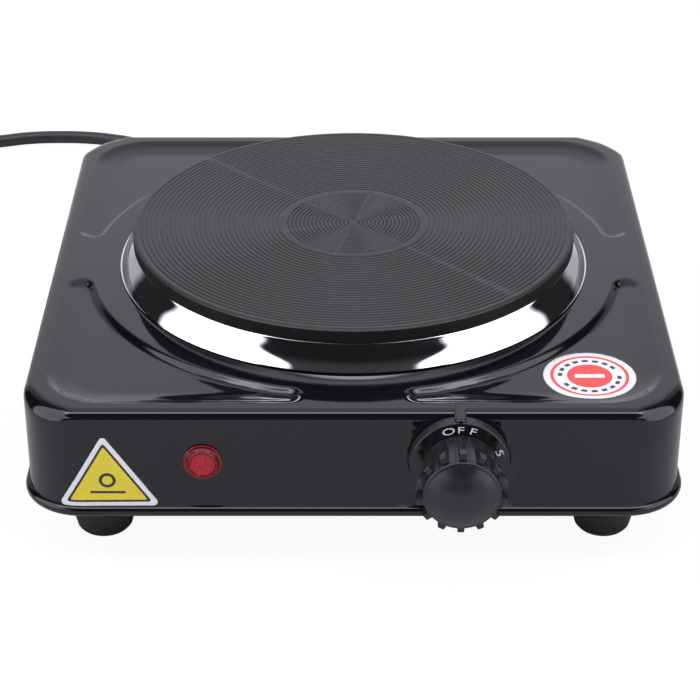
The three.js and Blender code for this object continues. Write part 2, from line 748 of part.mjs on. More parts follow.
function buildStrainRelief() {
  const group = onRearWall(cord.x, cord.z);
  const tip = cord.reliefLength;
  const collarTop = 3.2;
  const ribs = 4;
  const sleeve = [];
  for (let i = 0; i < ribs; i += 1) {
    const from = collarTop + ((tip - collarTop) * i) / ribs;
    const to = collarTop + ((tip - collarTop) * (i + 0.6)) / ribs;
    const radius = 5.7 - (1.7 * i) / (ribs - 1);
    sleeve.push([radius, from], [radius - 0.2, to], [radius - 0.8, to]);
  }
  const profile = [
    [0, -6.7], [5, -6.7], [5.2, -1.6], [5.2, GAP], [7.6, GAP], [7.6, collarTop - 0.8],
    [6.8, collarTop], ...sleeve, [3.4, tip], [0, tip],
  ];
  addMesh('strain_relief', lathe(profile, 16), rubber, group);
}

const exitY = shell.half + cord.reliefLength + GAP;
const cordRadius = cord.diameter / 2;

// The lead leaves the strain relief, drops to the table and curves round to its coil.
const leadRoute = [
  [cord.x, exitY, cord.z],
  [cord.x, 147, 33.2],
  [-60.2, 160, 28.4],
  [-61, 173, 20.8],
  [-63.2, 185.5, 12.8],
  [-67.6, 196, 6.6],
  [-74.6, 204.8, 3.5],
  [-84, 211.4, cordRadius],
  [-95, 216.9, cordRadius],
  [-108, 222.4, cordRadius],
  [-121.5, 225.6, cordRadius],
  [-135, 226.4, cordRadius],
  [-148, 225.3, cordRadius],
  [-160, 222, cordRadius],
  [-171.5, 218.9, cordRadius],
  [-181, 216.8, cordRadius],
  [-189, 215.4, cordRadius],
];

// The last stretch runs from the top turn of the coil to the plug.
const plug = { x: -225.6, front: 83, back: 127, z: 10.3, halfX: 13, halfZ: 10 };
const tailRoute = [
  [-227.9, 144.8, 8.9],
  [-226.7, 139, 9.5],
  [-225.9, 132.5, plug.z],
  [plug.x, plug.back + GAP, plug.z],
];

function buildLead() {
  addMesh('power_cord', tube(leadRoute, cordRadius, 8, 20), cordSheath);
  const { inner, outer, bottom, top } = coil;
  const round = 3;
  const section = [
    [inner + 1, bottom], [outer - 1, bottom], [outer, bottom + round], [outer, top - round],
    [outer - round, top], [inner + round, top], [inner, top - round], [inner, bottom + round],
  ];
  const wound = latheRing(section, 32);
  addMesh('cord_coil', wound, cordSheath).position.set(coil.x, coil.y, 0);
  addMesh('cord_tail', tube(tailRoute, cordRadius, 8, 4), cordSheath);

  // A strap around the section of the coil.
  const strap = 0.8;
  const reach = strap + GAP;
  const [x0, x1] = [inner - reach - 0.5, outer + reach];
  const outside = block(x0, x1, -4, 4, bottom - reach, top + reach);
  const inside = block(x0 + strap, x1 - strap, -5, 5, bottom - GAP, top + GAP);
  const tie = cutAway(outside, inside);
  tie.rotateZ(-0.4 * Math.PI).translate(coil.x, coil.y, 0);
  addMesh('cord_tie', tie, blackPlastic);
}

// A moulded three pin plug lying on its side, with its pins pointing to the front.
function buildPlug() {
  const group = addGroup(plug.x, plug.back, plug.z, QUARTER);
  const length = plug.back - plug.front;
  const levels = [
    [4.2, 4.2, 4.1, 0], [4.9, 4.9, 4.8, 12], [7.5, 6.5, 5, 14.5], [11.6, 9.2, 5, 21],
    [plug.halfX, plug.halfZ, 5, 27], [plug.halfX, plug.halfZ, 5, length - 1.5],
    [plug.halfX - 1.2, plug.halfZ - 1.2, 4, length],
  ];
  const body = stack(levels.map(([halfX, halfZ, radius, z]) => ({
    outline: roundedBox(halfX, halfZ, radius, 3),
    z,
  })));
  addMesh('plug_body', body, blackPlastic, group);
  const pinStart = length + GAP;
  const bladeX = -5.5;
  const bladeSpread = 6.35;
  const [halfWidth, halfThickness, bladeLength] = [3.1, 0.75, 17.5];
  ['upper', 'lower'].forEach((name, i) => {
    const height = (1 - 2 * i) * bladeSpread;
    const blade = block(
      bladeX - halfWidth, bladeX + halfWidth,
      height - halfThickness, height + halfThickness,
      pinStart, pinStart + bladeLength,
    );
    addMesh(`plug_blade_${name}`, blade, copperAlloy, group);
  });
  const earthPin = lathe([
    [0, pinStart], [2.4, pinStart], [2.4, pinStart + 19], [1.2, pinStart + 21], [0, pinStart + 21],
  ], 12);
  addMesh('plug_earth_pin', earthPin.translate(bladeX + 11.9, 0, 0), copperAlloy, group);
}

// ---------------------------------------------------------------- stickers

const sticker = { thickness: 0.3, radius: 15, x: 76.5, y: -80 };

// The corners of the triangle: distance along the front wall from its middle, and height.
const triangleCorners = { left: [-93.6, 23.5], right: [-62.9, 23.8], apex: [-78.8, 48.4] };

// The point on the front wall, or on the corner beside it, at a distance from the case's middle.
function alongFrontWall(distance, lift) {
  const straight = shell.half - shell.cornerRadius;
  const past = Math.abs(distance) - straight;
  if (past <= 0) return [distance, -shell.half - lift];
  const angle = past / shell.cornerRadius;
  const radius = shell.cornerRadius + lift;
  const x = straight + radius * Math.sin(angle);
  return [Math.sign(distance) * x, -straight - radius * Math.cos(angle)];
}

// A thin triangle bent round the front wall: a grid of points on each of its two faces.
function wrappedTriangle({ left, right, apex }, steps) {
  const positions = [];
  const rows = [];
  for (const lift of [GAP, GAP + sticker.thickness]) {
    const face = [];
    for (let row = 0; row <= steps; row += 1) {
      face.push([]);
      for (let i = 0; i <= steps - row; i += 1) {
        const up = row / steps;
        const across = i / steps;
        const distance = left[0] + (right[0] - left[0]) * across + (apex[0] - left[0]) * up;
        const z = left[1] + (right[1] - left[1]) * across + (apex[1] - left[1]) * up;
        const [x, y] = alongFrontWall(distance, lift);
        face[row].push(positions.length / 3);
        positions.push(x, y, z);
      }
    }
    rows.push(face);
  }
  const [inner, outer] = rows;
  const triangles = [];
  for (let row = 0; row < steps; row += 1) {
    for (let i = 0; i < steps - row; i += 1) {
      triangles.push(outer[row][i], outer[row][i + 1], outer[row + 1][i]);
      triangles.push(inner[row][i], inner[row + 1][i], inner[row][i + 1]);
      if (i === steps - row - 1) continue;
      triangles.push(outer[row][i + 1], outer[row + 1][i + 1], outer[row + 1][i]);
      triangles.push(inner[row][i + 1], inner[row + 1][i], inner[row + 1][i + 1]);
    }
  }
  const edges = [...Array(steps + 1).keys()];
  const rims = [
    edges.map((i) => [0, i]),
    edges.map((i) => [i, steps - i]),
    edges.map((i) => [steps - i, 0]),
  ];
  for (const rim of rims) {
    for (let i = 0; i < steps; i += 1) {
      const [rowA, a] = rim[i];
      const [rowB, b] = rim[i + 1];
      triangles.push(inner[rowA][a], inner[rowB][b], outer[rowB][b]);
      triangles.push(inner[rowA][a], outer[rowB][b], outer[rowA][a]);
    }
  }
  const geometry = new THREE.BufferGeometry();
  geometry.setAttribute('position', new THREE.Float32BufferAttribute(positions, 3));
  geometry.setIndex(triangles);
  return geometry;
}

function buildStickers() {
  const triangle = wrappedTriangle(triangleCorners, 8);
  addMesh('hot_surface_sticker', triangle, yellowLabel);
  const bottom = padFloor + GAP;
  const round = disc(sticker.radius, bottom, bottom + sticker.thickness, 32);
  addMesh('round_sticker', round.translate(sticker.x, sticker.y, 0), whiteLabel);
}

// ---------------------------------------------------------------- assembly

buildCase();
buildBottomCover();
buildFeet();
buildPlate();
buildSpillRing();
buildHeatingCoil();
buildElementLayers();
buildCarrier();
buildKnob();
buildThermostat();
buildLamp();
buildTerminalBlock();
buildWires();
buildStrainRelief();
buildLead();
buildPlug();
buildStickers();

// The footprint runs from the front of the knob to the bead at the back.
const footprintFront = -shell.half - knob.gripFront;
const footprintRear = shell.half + shell.beadReach;
model.position.y = -(footprintFront + footprintRear) / 2;

const part = new THREE.Group();
part.add(model);

export default part;
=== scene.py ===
import json
import math

import bmesh
import bpy
import numpy as np
from mathutils import Euler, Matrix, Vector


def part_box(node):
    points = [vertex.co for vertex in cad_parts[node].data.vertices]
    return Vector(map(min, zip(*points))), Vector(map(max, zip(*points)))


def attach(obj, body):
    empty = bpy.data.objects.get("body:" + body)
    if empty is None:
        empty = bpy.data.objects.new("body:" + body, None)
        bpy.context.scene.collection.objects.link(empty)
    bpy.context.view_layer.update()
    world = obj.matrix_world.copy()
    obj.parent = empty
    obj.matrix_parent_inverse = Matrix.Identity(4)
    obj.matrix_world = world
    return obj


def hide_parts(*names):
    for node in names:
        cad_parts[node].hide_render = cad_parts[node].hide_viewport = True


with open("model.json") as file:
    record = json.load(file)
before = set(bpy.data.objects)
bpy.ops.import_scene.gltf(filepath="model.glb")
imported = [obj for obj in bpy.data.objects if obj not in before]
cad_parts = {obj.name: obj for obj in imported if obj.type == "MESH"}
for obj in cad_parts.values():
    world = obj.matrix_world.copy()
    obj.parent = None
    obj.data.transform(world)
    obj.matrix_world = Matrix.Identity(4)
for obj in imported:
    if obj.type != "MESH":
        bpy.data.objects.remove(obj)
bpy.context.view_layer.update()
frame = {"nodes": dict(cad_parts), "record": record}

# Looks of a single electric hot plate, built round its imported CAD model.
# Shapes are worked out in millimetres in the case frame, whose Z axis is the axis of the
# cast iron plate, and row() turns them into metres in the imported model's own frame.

MM = 0.001
TURN = 2 * math.pi
plate_low, plate_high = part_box("cast_iron_plate")
AXIS = np.array([(plate_low.x + plate_high.x) / 2, (plate_low.y + plate_high.y) / 2, 0.0])


def row(points):
    """Points in the case frame, in millimetres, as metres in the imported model's frame."""
    return np.asarray(points, float) * MM + AXIS


def case_box(node):
    """A CAD node's lowest and highest corner in the case frame, in millimetres."""
    low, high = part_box(node)
    return (np.array(low) - AXIS) / MM, (np.array(high) - AXIS) / MM


# ---- sizes of the case

TOP = 58.0
HALF = 106.0
CORNER = 18.5
BOTTOM = 19.5
THICKNESS = 1.2
BEAD_REACH = 1.7
BEAD_HEIGHT = 3.6
OPENING = 78.0
# Radius of the round edge between top and wall, along the sides and at the corners.
EDGE_SIDE = 3.2
EDGE_CORNER = 5.4

# Each corner pad lies outside PAD_INNER, a radius from the plate's axis, and inside a square
# of half width PAD_LIMIT with corners of PAD_CORNER. Its two tips have the radius PAD_END.
PAD_LIMIT = 100.2
PAD_CORNER = 21.0
PAD_INNER = 92.0
PAD_END = 5.3
PAD_DEPTH = 2.0
RIM_DEPTH = 1.2
INNER_SLOPE = 2.7
OUTER_SLOPE = 3.8

# ---- camera

CAMERA_PLACE = (-1.2, -682, 411.6)
CAMERA_PITCH = 29.87
LENS = 110.9


def make_camera():
    data = bpy.data.cameras.new("camera")
    data.lens = LENS
    data.sensor_width = 36
    data.clip_start = 0.01
    camera = bpy.data.objects.new("camera", data)
    camera.location = row(CAMERA_PLACE)
    camera.rotation_euler = Euler((math.radians(90 - CAMERA_PITCH), 0, 0))
    bpy.context.scene.collection.objects.link(camera)
    bpy.context.scene.camera = camera


make_camera()

# ---- node trees


class Tree:
    """A short way to write a node tree. Inputs are numbers, colours or other nodes' outputs."""

    def __init__(self, tree):
        self.tree = tree
        tree.nodes.clear()

    def feed(self, socket, value):
        if isinstance(value, bpy.types.NodeSocket):
            self.tree.links.new(value, socket)
        else:
            socket.default_value = value

    def node(self, kind, inputs=None, **settings):
        made = self.tree.nodes.new(kind)
        for name, value in settings.items():
            setattr(made, name, value)
        for name, value in (inputs or {}).items():
            self.feed(made.inputs[name], value)
        return made

    def math(self, operation, *values):
        numbered = dict(enumerate(values))
        return self.node("ShaderNodeMath", numbered, operation=operation).outputs[0]

    def fade(self, value, start, end, low=0.0, high=1.0):
        """From low to high, smoothly, as value goes from start to end."""
        inputs = {"Value": value, "From Min": start, "From Max": end, "To Min": low, "To Max": high}
        made = self.node("ShaderNodeMapRange", inputs, interpolation_type="SMOOTHSTEP")
        return made.outputs["Result"]

    def colour(self, factor, first, second):
        made = self.node("ShaderNodeMix", data_type="RGBA")
        sockets = {s.identifier: s for s in made.inputs}
        for name, value in (("Factor_Float", factor), ("A_Color", first), ("B_Color", second)):
            self.feed(sockets[name], value)
        return next(s for s in made.outputs if s.identifier == "Result_Color")

    def noise(self, place, scale, detail=3.0, roughness=0.55):
        inputs = {"Vector": place, "Scale": scale, "Detail": detail, "Roughness": roughness}
        return self.node("ShaderNodeTexNoise", inputs).outputs["Fac"]


# ---- studio

STUDIO_TINT = (0.965, 0.955, 1.03, 1)
STRIP_LIGHT = 4.3
SIDE_LIGHT = 2.3
BACKDROP_SEEN = 1.05

# Directions in the studio are angles in degrees: bearing is measured round the object from
# its front, height above the table, and swing over the top from the horizon behind.


def studio_angles(tree):
    """The angles of a direction, and how far it leans to either side, from 0 to 1."""
    direction = tree.node("ShaderNodeTexCoord").outputs["Generated"]
    parts = tree.node("ShaderNodeSeparateXYZ", {"Vector": direction}).outputs
    x, y, z = parts["X"], parts["Y"], parts["Z"]
    degrees = 180 / math.pi
    aside = tree.math("ABSOLUTE", x)
    above = tree.math("MAXIMUM", z, 0.0)
    front = tree.math("MULTIPLY", y, -1.0)
    bearing = tree.math("MULTIPLY", tree.math("ARCTAN2", aside, front), degrees)
    height = tree.math("MULTIPLY", tree.math("ARCSINE", above), degrees)
    swing = tree.math("MULTIPLY", tree.math("ARCTAN2", above, y), degrees)
    return bearing, height, swing, aside


def back_light(tree, bearing, height, swing, aside):
    """The backdrop: dim at its sides, bright in the middle, and rolled over the top."""
    dim_sides = tree.fade(bearing, 125, 133, 0, 0.45)
    bright_middle = tree.fade(bearing, 140, 165, 0, 0.55)
    low_back = tree.math("ADD", dim_sides, bright_middle)
    high_back = tree.fade(swing, 88, 97, 1.0, 0.0)
    high_back = tree.math("MULTIPLY", high_back, tree.fade(aside, 0.3, 0.46, 1.0, 0.12))
    climb = tree.fade(height, 32, 52)
    gain = tree.math("SUBTRACT", high_back, low_back)
    return tree.math("ADD", low_back, tree.math("MULTIPLY", climb, gain))


def strip_light(tree, swing, aside):
    """A narrow box of light overhead, a little in front of the object."""
    strip = tree.math("MULTIPLY", tree.fade(swing, 94, 98), tree.fade(swing, 115, 119, 1.0, 0.0))
    return tree.math("MULTIPLY", strip, tree.fade(aside, 0.52, 0.64, 1.0, 0.0))


def side_light(tree, bearing, height):
    """A soft box on each side. The dark gap in front widens with height and near the table."""
    gap = tree.fade(height, 5, 40, 8.0, 42.0)
    offset = tree.math("SUBTRACT", bearing, gap)
    side = tree.math("MULTIPLY", tree.fade(offset, 7, 13), tree.fade(bearing, 97, 103, 1.0, 0.0))
    side = tree.math("MULTIPLY", side, tree.fade(height, 55, 68, 1.0, 0.0))
    off_table = tree.math("MAXIMUM", tree.fade(height, 6, 14), tree.fade(bearing, 35, 50))
    return tree.math("MULTIPLY", side, off_table)


def room_light(tree, bearing, height):
    """What little light the dark room in front gives."""
    dim = tree.fade(height, 16, 34, 0.055, 0.012)
    return tree.math("MULTIPLY", dim, tree.fade(bearing, 50, 90, 1.0, 0.35))


def make_world():
    """A white studio: a backdrop behind, a strip light overhead, a soft box on each side."""
    world = bpy.data.worlds.new("studio")
    bpy.context.scene.world = world
    world.use_nodes = True
    tree = Tree(world.node_tree)
    bearing, height, swing, aside = studio_angles(tree)
    back = back_light(tree, bearing, height, swing, aside)
    strip = strip_light(tree, swing, aside)
    side = side_light(tree, bearing, height)
    light = tree.math("ADD", back, room_light(tree, bearing, height))
    light = tree.math("MULTIPLY_ADD", strip, STRIP_LIGHT, light)
    light = tree.math("MULTIPLY_ADD", side, SIDE_LIGHT, light)
    seen = tree.node("ShaderNodeLightPath").outputs["Is Camera Ray"]
    lit = tree.node("ShaderNodeBackground", {"Color": STUDIO_TINT, "Strength": light})
    white = {"Color": (1, 1, 1, 1), "Strength": BACKDROP_SEEN}
    plain = tree.node("ShaderNodeBackground", white)
    both = tree.node("ShaderNodeMixShader", {0: seen, 1: lit.outputs[0], 2: plain.outputs[0]})
    tree.node("ShaderNodeOutputWorld", {"Surface": both.outputs[0]})


FLOOR_RADIUS = 0.47
FLOOR_GLOW = 1.08
GLOW_SHARE = 0.86


def make_floor():
    """A white table top, round and flat, that shows only a faint shadow."""
    bpy.ops.mesh.primitive_circle_add(vertices=96, radius=FLOOR_RADIUS, fill_type="NGON")
    floor = bpy.context.object
    floor.name = "floor"
    material = bpy.data.materials.new("floor")
    material.use_nodes = True
    tree = Tree(material.node_tree)
    card = tree.node("ShaderNodeBsdfDiffuse", {"Color": (0.56, 0.555, 0.57, 1)})
    glow = tree.node("ShaderNodeEmission", {"Color": (1, 1, 1, 1), "Strength": FLOOR_GLOW})
    seen = tree.node("ShaderNodeLightPath").outputs["Is Camera Ray"]
    share = tree.math("MULTIPLY", seen, GLOW_SHARE)
    both = tree.node("ShaderNodeMixShader", {0: share, 1: card.outputs[0], 2: glow.outputs[0]})
    tree.node("ShaderNodeOutputMaterial", {"Surface": both.outputs[0]})
    floor.data.materials.append(material)


make_world()
make_floor()
bpy.context.scene.view_settings.view_transform = "Standard"

# ---- materials


def surface(
    name, colour, roughness, metallic=0.0, *, spread=0.0, mottle=60.0, grain=0.0, grain_size=1.0,
    patchy=0.0, wear=None, **sockets,
):
    """A finish with patches, fine grain and, if wear is a colour, rubbed edges.

    spread and patchy are how much shade and roughness vary, and mottle is patches to a metre.
    grain is the grain's height and grain_size its width, in millimetres."""
    material = bpy.data.materials.new(name)
    material.use_nodes = True
    tree = Tree(material.node_tree)
    place = tree.node("ShaderNodeTexCoord").outputs["Object"]
    patches = tree.noise(place, mottle, detail=4.0)
    darker = [c * (1 - spread) for c in colour] + [1]
    lighter = [min(1.0, c * (1 + spread)) for c in colour] + [1]
    shade = tree.colour(patches, darker, lighter)
    rough = tree.fade(patches, 0.3, 0.7, max(0.02, roughness - patchy), roughness + patchy)
    if wear is not None:
        edge = tree.node("ShaderNodeNewGeometry").outputs["Pointiness"]
        scuffed = tree.math("MULTIPLY", tree.fade(edge, 0.53, 0.62), tree.fade(patches, 0.35, 0.6))
        shade = tree.colour(scuffed, shade, [*wear, 1])
    inputs = {"Base Color": shade, "Roughness": rough, "Metallic": metallic, **sockets}
    shader = tree.node("ShaderNodeBsdfPrincipled", inputs)
    if grain:
        fine = tree.noise(place, 1 / (grain_size * MM), detail=5.0, roughness=0.6)
        bump = tree.node("ShaderNodeBump", {"Height": fine, "Strength": 1.0, "Distance": grain * MM})
        tree.tree.links.new(bump.outputs[0], shader.inputs["Normal"])
    tree.node("ShaderNodeOutputMaterial", {"Surface": shader.outputs[0]})
    return material


def moulded(name, colour, roughness, grain=0.02, grain_size=0.5, **sockets):
    """Moulded plastic, rubber or ceramic, with a fine even grain."""
    return surface(
        name, colour, roughness, spread=0.12, mottle=220, patchy=0.06, grain=grain,
        grain_size=grain_size, **sockets,
    )


def printed(name, colour, roughness=0.28):
    """Ink or film on a sticker or a dial, with the faint screen of a print."""
    return surface(
        name, colour, roughness, spread=0.035, mottle=700, patchy=0.06, grain=0.004,
        grain_size=0.3,
    )


ENAMEL = surface(
    "enamel", (0.0042, 0.0041, 0.0054), 0.05, spread=0.25, mottle=25, patchy=0.02,
    grain=0.012, grain_size=9.0,
)
IRON = surface(
    "cast_iron", (0.011, 0.0108, 0.0115), 0.4, spread=0.22, mottle=900, patchy=0.06,
    grain=0.04, grain_size=0.35, wear=(0.05, 0.05, 0.053),
)
# The plate's side and underside: the same cast iron, darker and less shiny, painted shade.
SHADED_IRON_SIDE = surface(
    "cast_iron_side_painted_shade", (0.006, 0.006, 0.0065), 0.5, spread=0.3, mottle=700, patchy=0.08,
    grain=0.05, grain_size=0.4, **{"Specular IOR Level": 0.22},
)
CHROME = surface(
    "chrome", (0.80, 0.81, 0.84), 0.05, 1.0, spread=0.03, mottle=40, patchy=0.025,
    grain=0.006, grain_size=14.0,
)
ZINC = surface(
    "zinc_steel", (0.47, 0.48, 0.5), 0.32, 1.0, spread=0.12, mottle=160, patchy=0.1,
    grain=0.015, grain_size=0.8, wear=(0.62, 0.62, 0.62),
)
RUBBER = moulded("rubber", (0.013, 0.013, 0.014), 0.62, grain=0.05, grain_size=0.4)
GRIP_PLASTIC = moulded("grip_plastic", (0.012, 0.012, 0.0135), 0.31)
DIAL_PLASTIC = moulded("dial_plastic", (0.006, 0.006, 0.007), 0.1, grain=0.006)
DIAL_RIM = moulded("dial_rim", (0.02, 0.02, 0.022), 0.4)
BLACK_PLASTIC = moulded("black_plastic", (0.014, 0.014, 0.015), 0.38)
SHEATH = moulded("cord_sheath", (0.016, 0.0165, 0.018), 0.42, grain=0.03)
# One red plastic in two copies: a darker red for the lens's side, painted shade, and a lighter red
# for its facets, painted light.
SHADED_RED_LENS = moulded("red_lens", (0.13, 0.0008, 0.002), 0.07, grain=0.002)
LIT_RED_FACETS = moulded("red_facets_painted_light", (0.42, 0.006, 0.02), 0.16, grain=0.002)
CERAMIC = moulded("ceramic", (0.78, 0.75, 0.68), 0.5)
MAGNESIA = moulded("magnesia", (0.6, 0.56, 0.48), 0.9, grain=0.15, grain_size=0.6)
ALLOY = surface("heating_alloy", (0.16, 0.13, 0.11), 0.5, 0.8, spread=0.3, mottle=200, patchy=0.1)
BRASS = surface(
    "brass", (0.68, 0.5, 0.22), 0.24, 1.0, spread=0.1, mottle=180, patchy=0.08, grain=0.01,
    grain_size=0.5,
)
BULB_GLASS = surface(
    "bulb_glass", (0.95, 0.9, 0.84), 0.05, spread=0.02, patchy=0.02, **{"Transmission Weight": 0.9},
)
BROWN = moulded("brown_wire", (0.15, 0.055, 0.028), 0.45)
BLUE = moulded("blue_wire", (0.03, 0.1, 0.38), 0.45)
GREEN = moulded("green_wire", (0.16, 0.4, 0.05), 0.45)
WHITE_PRINT = printed("white_print", (0.76, 0.76, 0.78))
YELLOW_PRINT = printed("yellow_print", (0.72, 0.6, 0.035))
RED_PRINT = printed("red_print", (0.72, 0.06, 0.055))
DARK_PRINT = printed("dark_print", (0.03, 0.022, 0.02))

# The finish of each CAD node, by its material slot.
CARRIED = {
    "zinc_steel": ZINC, "black_plastic": BLACK_PLASTIC, "ceramic": CERAMIC,
    "magnesia": MAGNESIA, "heating_alloy": ALLOY, "brass": BRASS, "bulb_glass": BULB_GLASS,
    "brown_wire": BROWN, "blue_wire": BLUE, "green_wire": GREEN, "rubber": RUBBER,
    "cord_sheath": SHEATH, "red_lens": SHADED_RED_LENS, "knob_plastic": GRIP_PLASTIC, "enamel": ENAMEL,
    "cast_iron": IRON, "chrome": CHROME, "yellow_sticker": YELLOW_PRINT,
    "white_sticker": WHITE_PRINT,
}


def finish_carried_nodes():
    """Gives every CAD node its finish."""
    for sub in frame["record"]["subparts"]:
        node = frame["nodes"][sub["node"]]
        node.data.materials.clear()
        node.data.materials.append(CARRIED[sub["material_slot"]])


finish_carried_nodes()

# ---- mesh helpers


def add_piece(name, solid, materials, replaces=(), shades=None, body="case"):
    """A piece of the object from (points, faces) in the case frame. Sharp edges stay sharp."""
    points, faces = solid
    mesh = bpy.data.meshes.new(name)
    mesh.from_pydata(row(points).tolist(), [], faces)
    for material in materials:
        mesh.materials.append(material)
    if shades is not None:
        mesh.polygons.foreach_set("material_index", shades)
    mesh.validate()
    edit = bmesh.new()
    edit.from_mesh(mesh)
    bmesh.ops.remove_doubles(edit, verts=edit.verts, dist=1e-6)
    bmesh.ops.recalc_face_normals(edit, faces=edit.faces)
    edit.to_mesh(mesh)
    edit.free()
    mesh.shade_smooth()
    mesh.set_sharp_from_angle(angle=math.radians(50))
    piece = bpy.data.objects.new(name, mesh)
    bpy.context.scene.collection.objects.link(piece)
    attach(piece, body)
    if replaces:
        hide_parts(*replaces)
    return piece


def skin(rings, cap_start=False, cap_end=False, close=False):
    """Quads between rings with equal numbers of points, as (points, faces)."""
    count = len(rings[0])
    points = np.concatenate([np.asarray(ring, float) for ring in rings])
    faces = []
    last = len(rings) if close else len(rings) - 1
    for level in range(last):
        here = level * count
        there = (level + 1) % len(rings) * count
        for i in range(count):
            j = (i + 1) % count
            faces.append((here + i, here + j, there + j, there + i))
    if cap_start:
        faces.append(tuple(range(count - 1, -1, -1)))
    if cap_end:
        faces.append(tuple((len(rings) - 1) * count + i for i in range(count)))
    return points, faces


def merged(*solids):
    """Several (points, faces) pairs as one."""
    points = []
    faces = []
    start = 0
    for some_points, some_faces in solids:
        points.append(some_points)
        faces.extend(tuple(start + i for i in face) for face in some_faces)
        start += len(some_points)
    return np.concatenate(points), faces


def rounded(corners, closed=False, steps=4):
    """A line through corners (x, y, radius), bent smoothly where the radius isn't zero."""
    line = []
    count = len(corners)
    for i, (x, y, radius) in enumerate(corners):
        here = np.array([x, y], float)
        end = not closed and i in (0, count - 1)
        if radius == 0 or end:
            line.append(here)
            continue
        before = np.array(corners[i - 1][:2], float) - here
        after = np.array(corners[(i + 1) % count][:2], float) - here
        room = min(np.linalg.norm(before), np.linalg.norm(after)) * 0.499
        before /= np.linalg.norm(before)
        after /= np.linalg.norm(after)
        half_angle = math.acos(np.clip(before @ after, -1, 1)) / 2
        reach = min(radius / math.tan(half_angle), room)
        start, stop = here + before * reach, here + after * reach
        for t in np.arange(steps + 1) / steps:
            line.append((1 - t) ** 2 * start + 2 * t * (1 - t) * here + t**2 * stop)
    return np.array(line)


def circle_angles(segments):
    """Evenly spaced angles round a circle, in radians."""
    return np.arange(segments) * TURN / segments


def unit_circle(angles):
    """Points (x, y) at a distance of one, in the directions given."""
    return np.column_stack([np.cos(angles), np.sin(angles)])


def at_height(flat, z):
    """Points (x, y) placed at z, which is one height for them all or one for each."""
    return np.column_stack([flat, np.broadcast_to(z, len(flat))])


def revolve(profile, segments, x=0.0, y=0.0, closed=False):
    """A solid of revolution about a vertical axis, from a profile of (radius, z) pairs."""
    around = unit_circle(circle_angles(segments))
    rings = [at_height((x, y) + radius * around, z) for radius, z in profile]
    return skin(rings, close=closed)


def on_front_wall(points, x, z):
    """Points whose own Z axis points out of the front wall at (x, z)."""
    u, v, out = np.asarray(points, float).T
    return np.column_stack([x + u, -HALF - out, z + v])


def on_rear_wall(points, x, z):
    """Points whose own Z axis points out of the rear wall at (x, z)."""
    u, v, out = np.asarray(points, float).T
    return np.column_stack([x - u, HALF + out, z + v])


def smooth(t):
    """From 0 to 1 as t does, with a level start and end."""
    t = np.clip(t, 0, 1)
    return t * t * (3 - 2 * t)


# ---- mains lead

CORD = 5.6
LEAD_ROUTE = [
    (-60, 132.6, 34), (-60, 147, 33.2), (-60.2, 160, 28.4), (-61, 173, 20.8), (-63.2, 185.5, 12.8),
    (-67.6, 196, 6.6), (-74.6, 204.8, 3.5), (-84, 211.4, 2.8), (-95, 216.9, 2.8),
    (-108, 222.4, 2.8), (-121.5, 225.6, 2.8), (-135, 226.4, 2.8), (-148, 225.3, 2.8),
    (-160, 222, 2.8), (-171.5, 218.9, 2.8), (-181, 216.8, 2.8), (-189, 215.4, 2.8),
]
TAIL_ROUTE = [
    (-231.3, 157, 8.6), (-227.9, 144.8, 8.9), (-226.7, 139, 9.5), (-225.9, 132.5, 10.3),
    (-225.6, 125, 10.3),
]

coil_low, coil_high = case_box("cord_coil")
COIL_CENTRE = (coil_low + coil_high) / 2
JOIN_ANGLE = 95.7
TIE_ANGLE = 288.0
# Angle wound since the join, radius and height of the cord's centre.
COIL_STAGES = [
    (0, 34.2, 2.8), (310, 34.2, 2.8), (360, 28.6, 2.8), (635, 28.6, 2.8), (690, 30.6, 8.4),
    (735, 31.4, 7.7), (820, 31.4, 7.7),
]
COIL_STEP = 10
# How far the tie lifts the turns, and for how many degrees to each side of it.
TIE_LIFT = 0.75
TIE_SPAN = 25


def coil_turns():
    """The turns of the coil: two on the table, lifted by the tie, and part of one on top."""
    stages = np.array(COIL_STAGES, float)
    angles = stages[:, 0]
    points = []
    for wound in range(0, int(angles[-1]) + 1, COIL_STEP):
        later = min(np.searchsorted(angles, wound, side="right"), len(angles) - 1)
        part = smooth((wound - angles[later - 1]) / (angles[later] - angles[later - 1]))
        _, radius, height = stages[later - 1] + (stages[later] - stages[later - 1]) * part
        bearing = (JOIN_ANGLE + wound) % 360
        height += TIE_LIFT * smooth(1 - abs(bearing - TIE_ANGLE) / TIE_SPAN)
        turned = math.radians(bearing)
        points.append((
            COIL_CENTRE[0] + radius * math.cos(turned),
            COIL_CENTRE[1] + radius * math.sin(turned),
            height,
        ))
    return points


def make_cord():
    """The lead as one smooth curve, from the sleeve through the coil to the plug."""
    curve = bpy.data.curves.new("mains_lead", "CURVE")
    curve.dimensions = "3D"
    curve.bevel_depth = CORD / 2 * MM
    curve.bevel_resolution = 8
    curve.resolution_u = 6
    curve.use_fill_caps = True
    route = row([*LEAD_ROUTE, *coil_turns(), *TAIL_ROUTE])
    spline = curve.splines.new("BEZIER")
    spline.bezier_points.add(len(route) - 1)
    for knot, place in zip(spline.bezier_points, route):
        knot.co = place
        knot.handle_left_type = knot.handle_right_type = "AUTO"
    curve.materials.append(SHEATH)
    lead = bpy.data.objects.new("mains_lead", curve)
    bpy.context.scene.collection.objects.link(lead)
    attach(lead, "case")
    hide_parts("power_cord", "cord_coil", "cord_tail")
    return lead


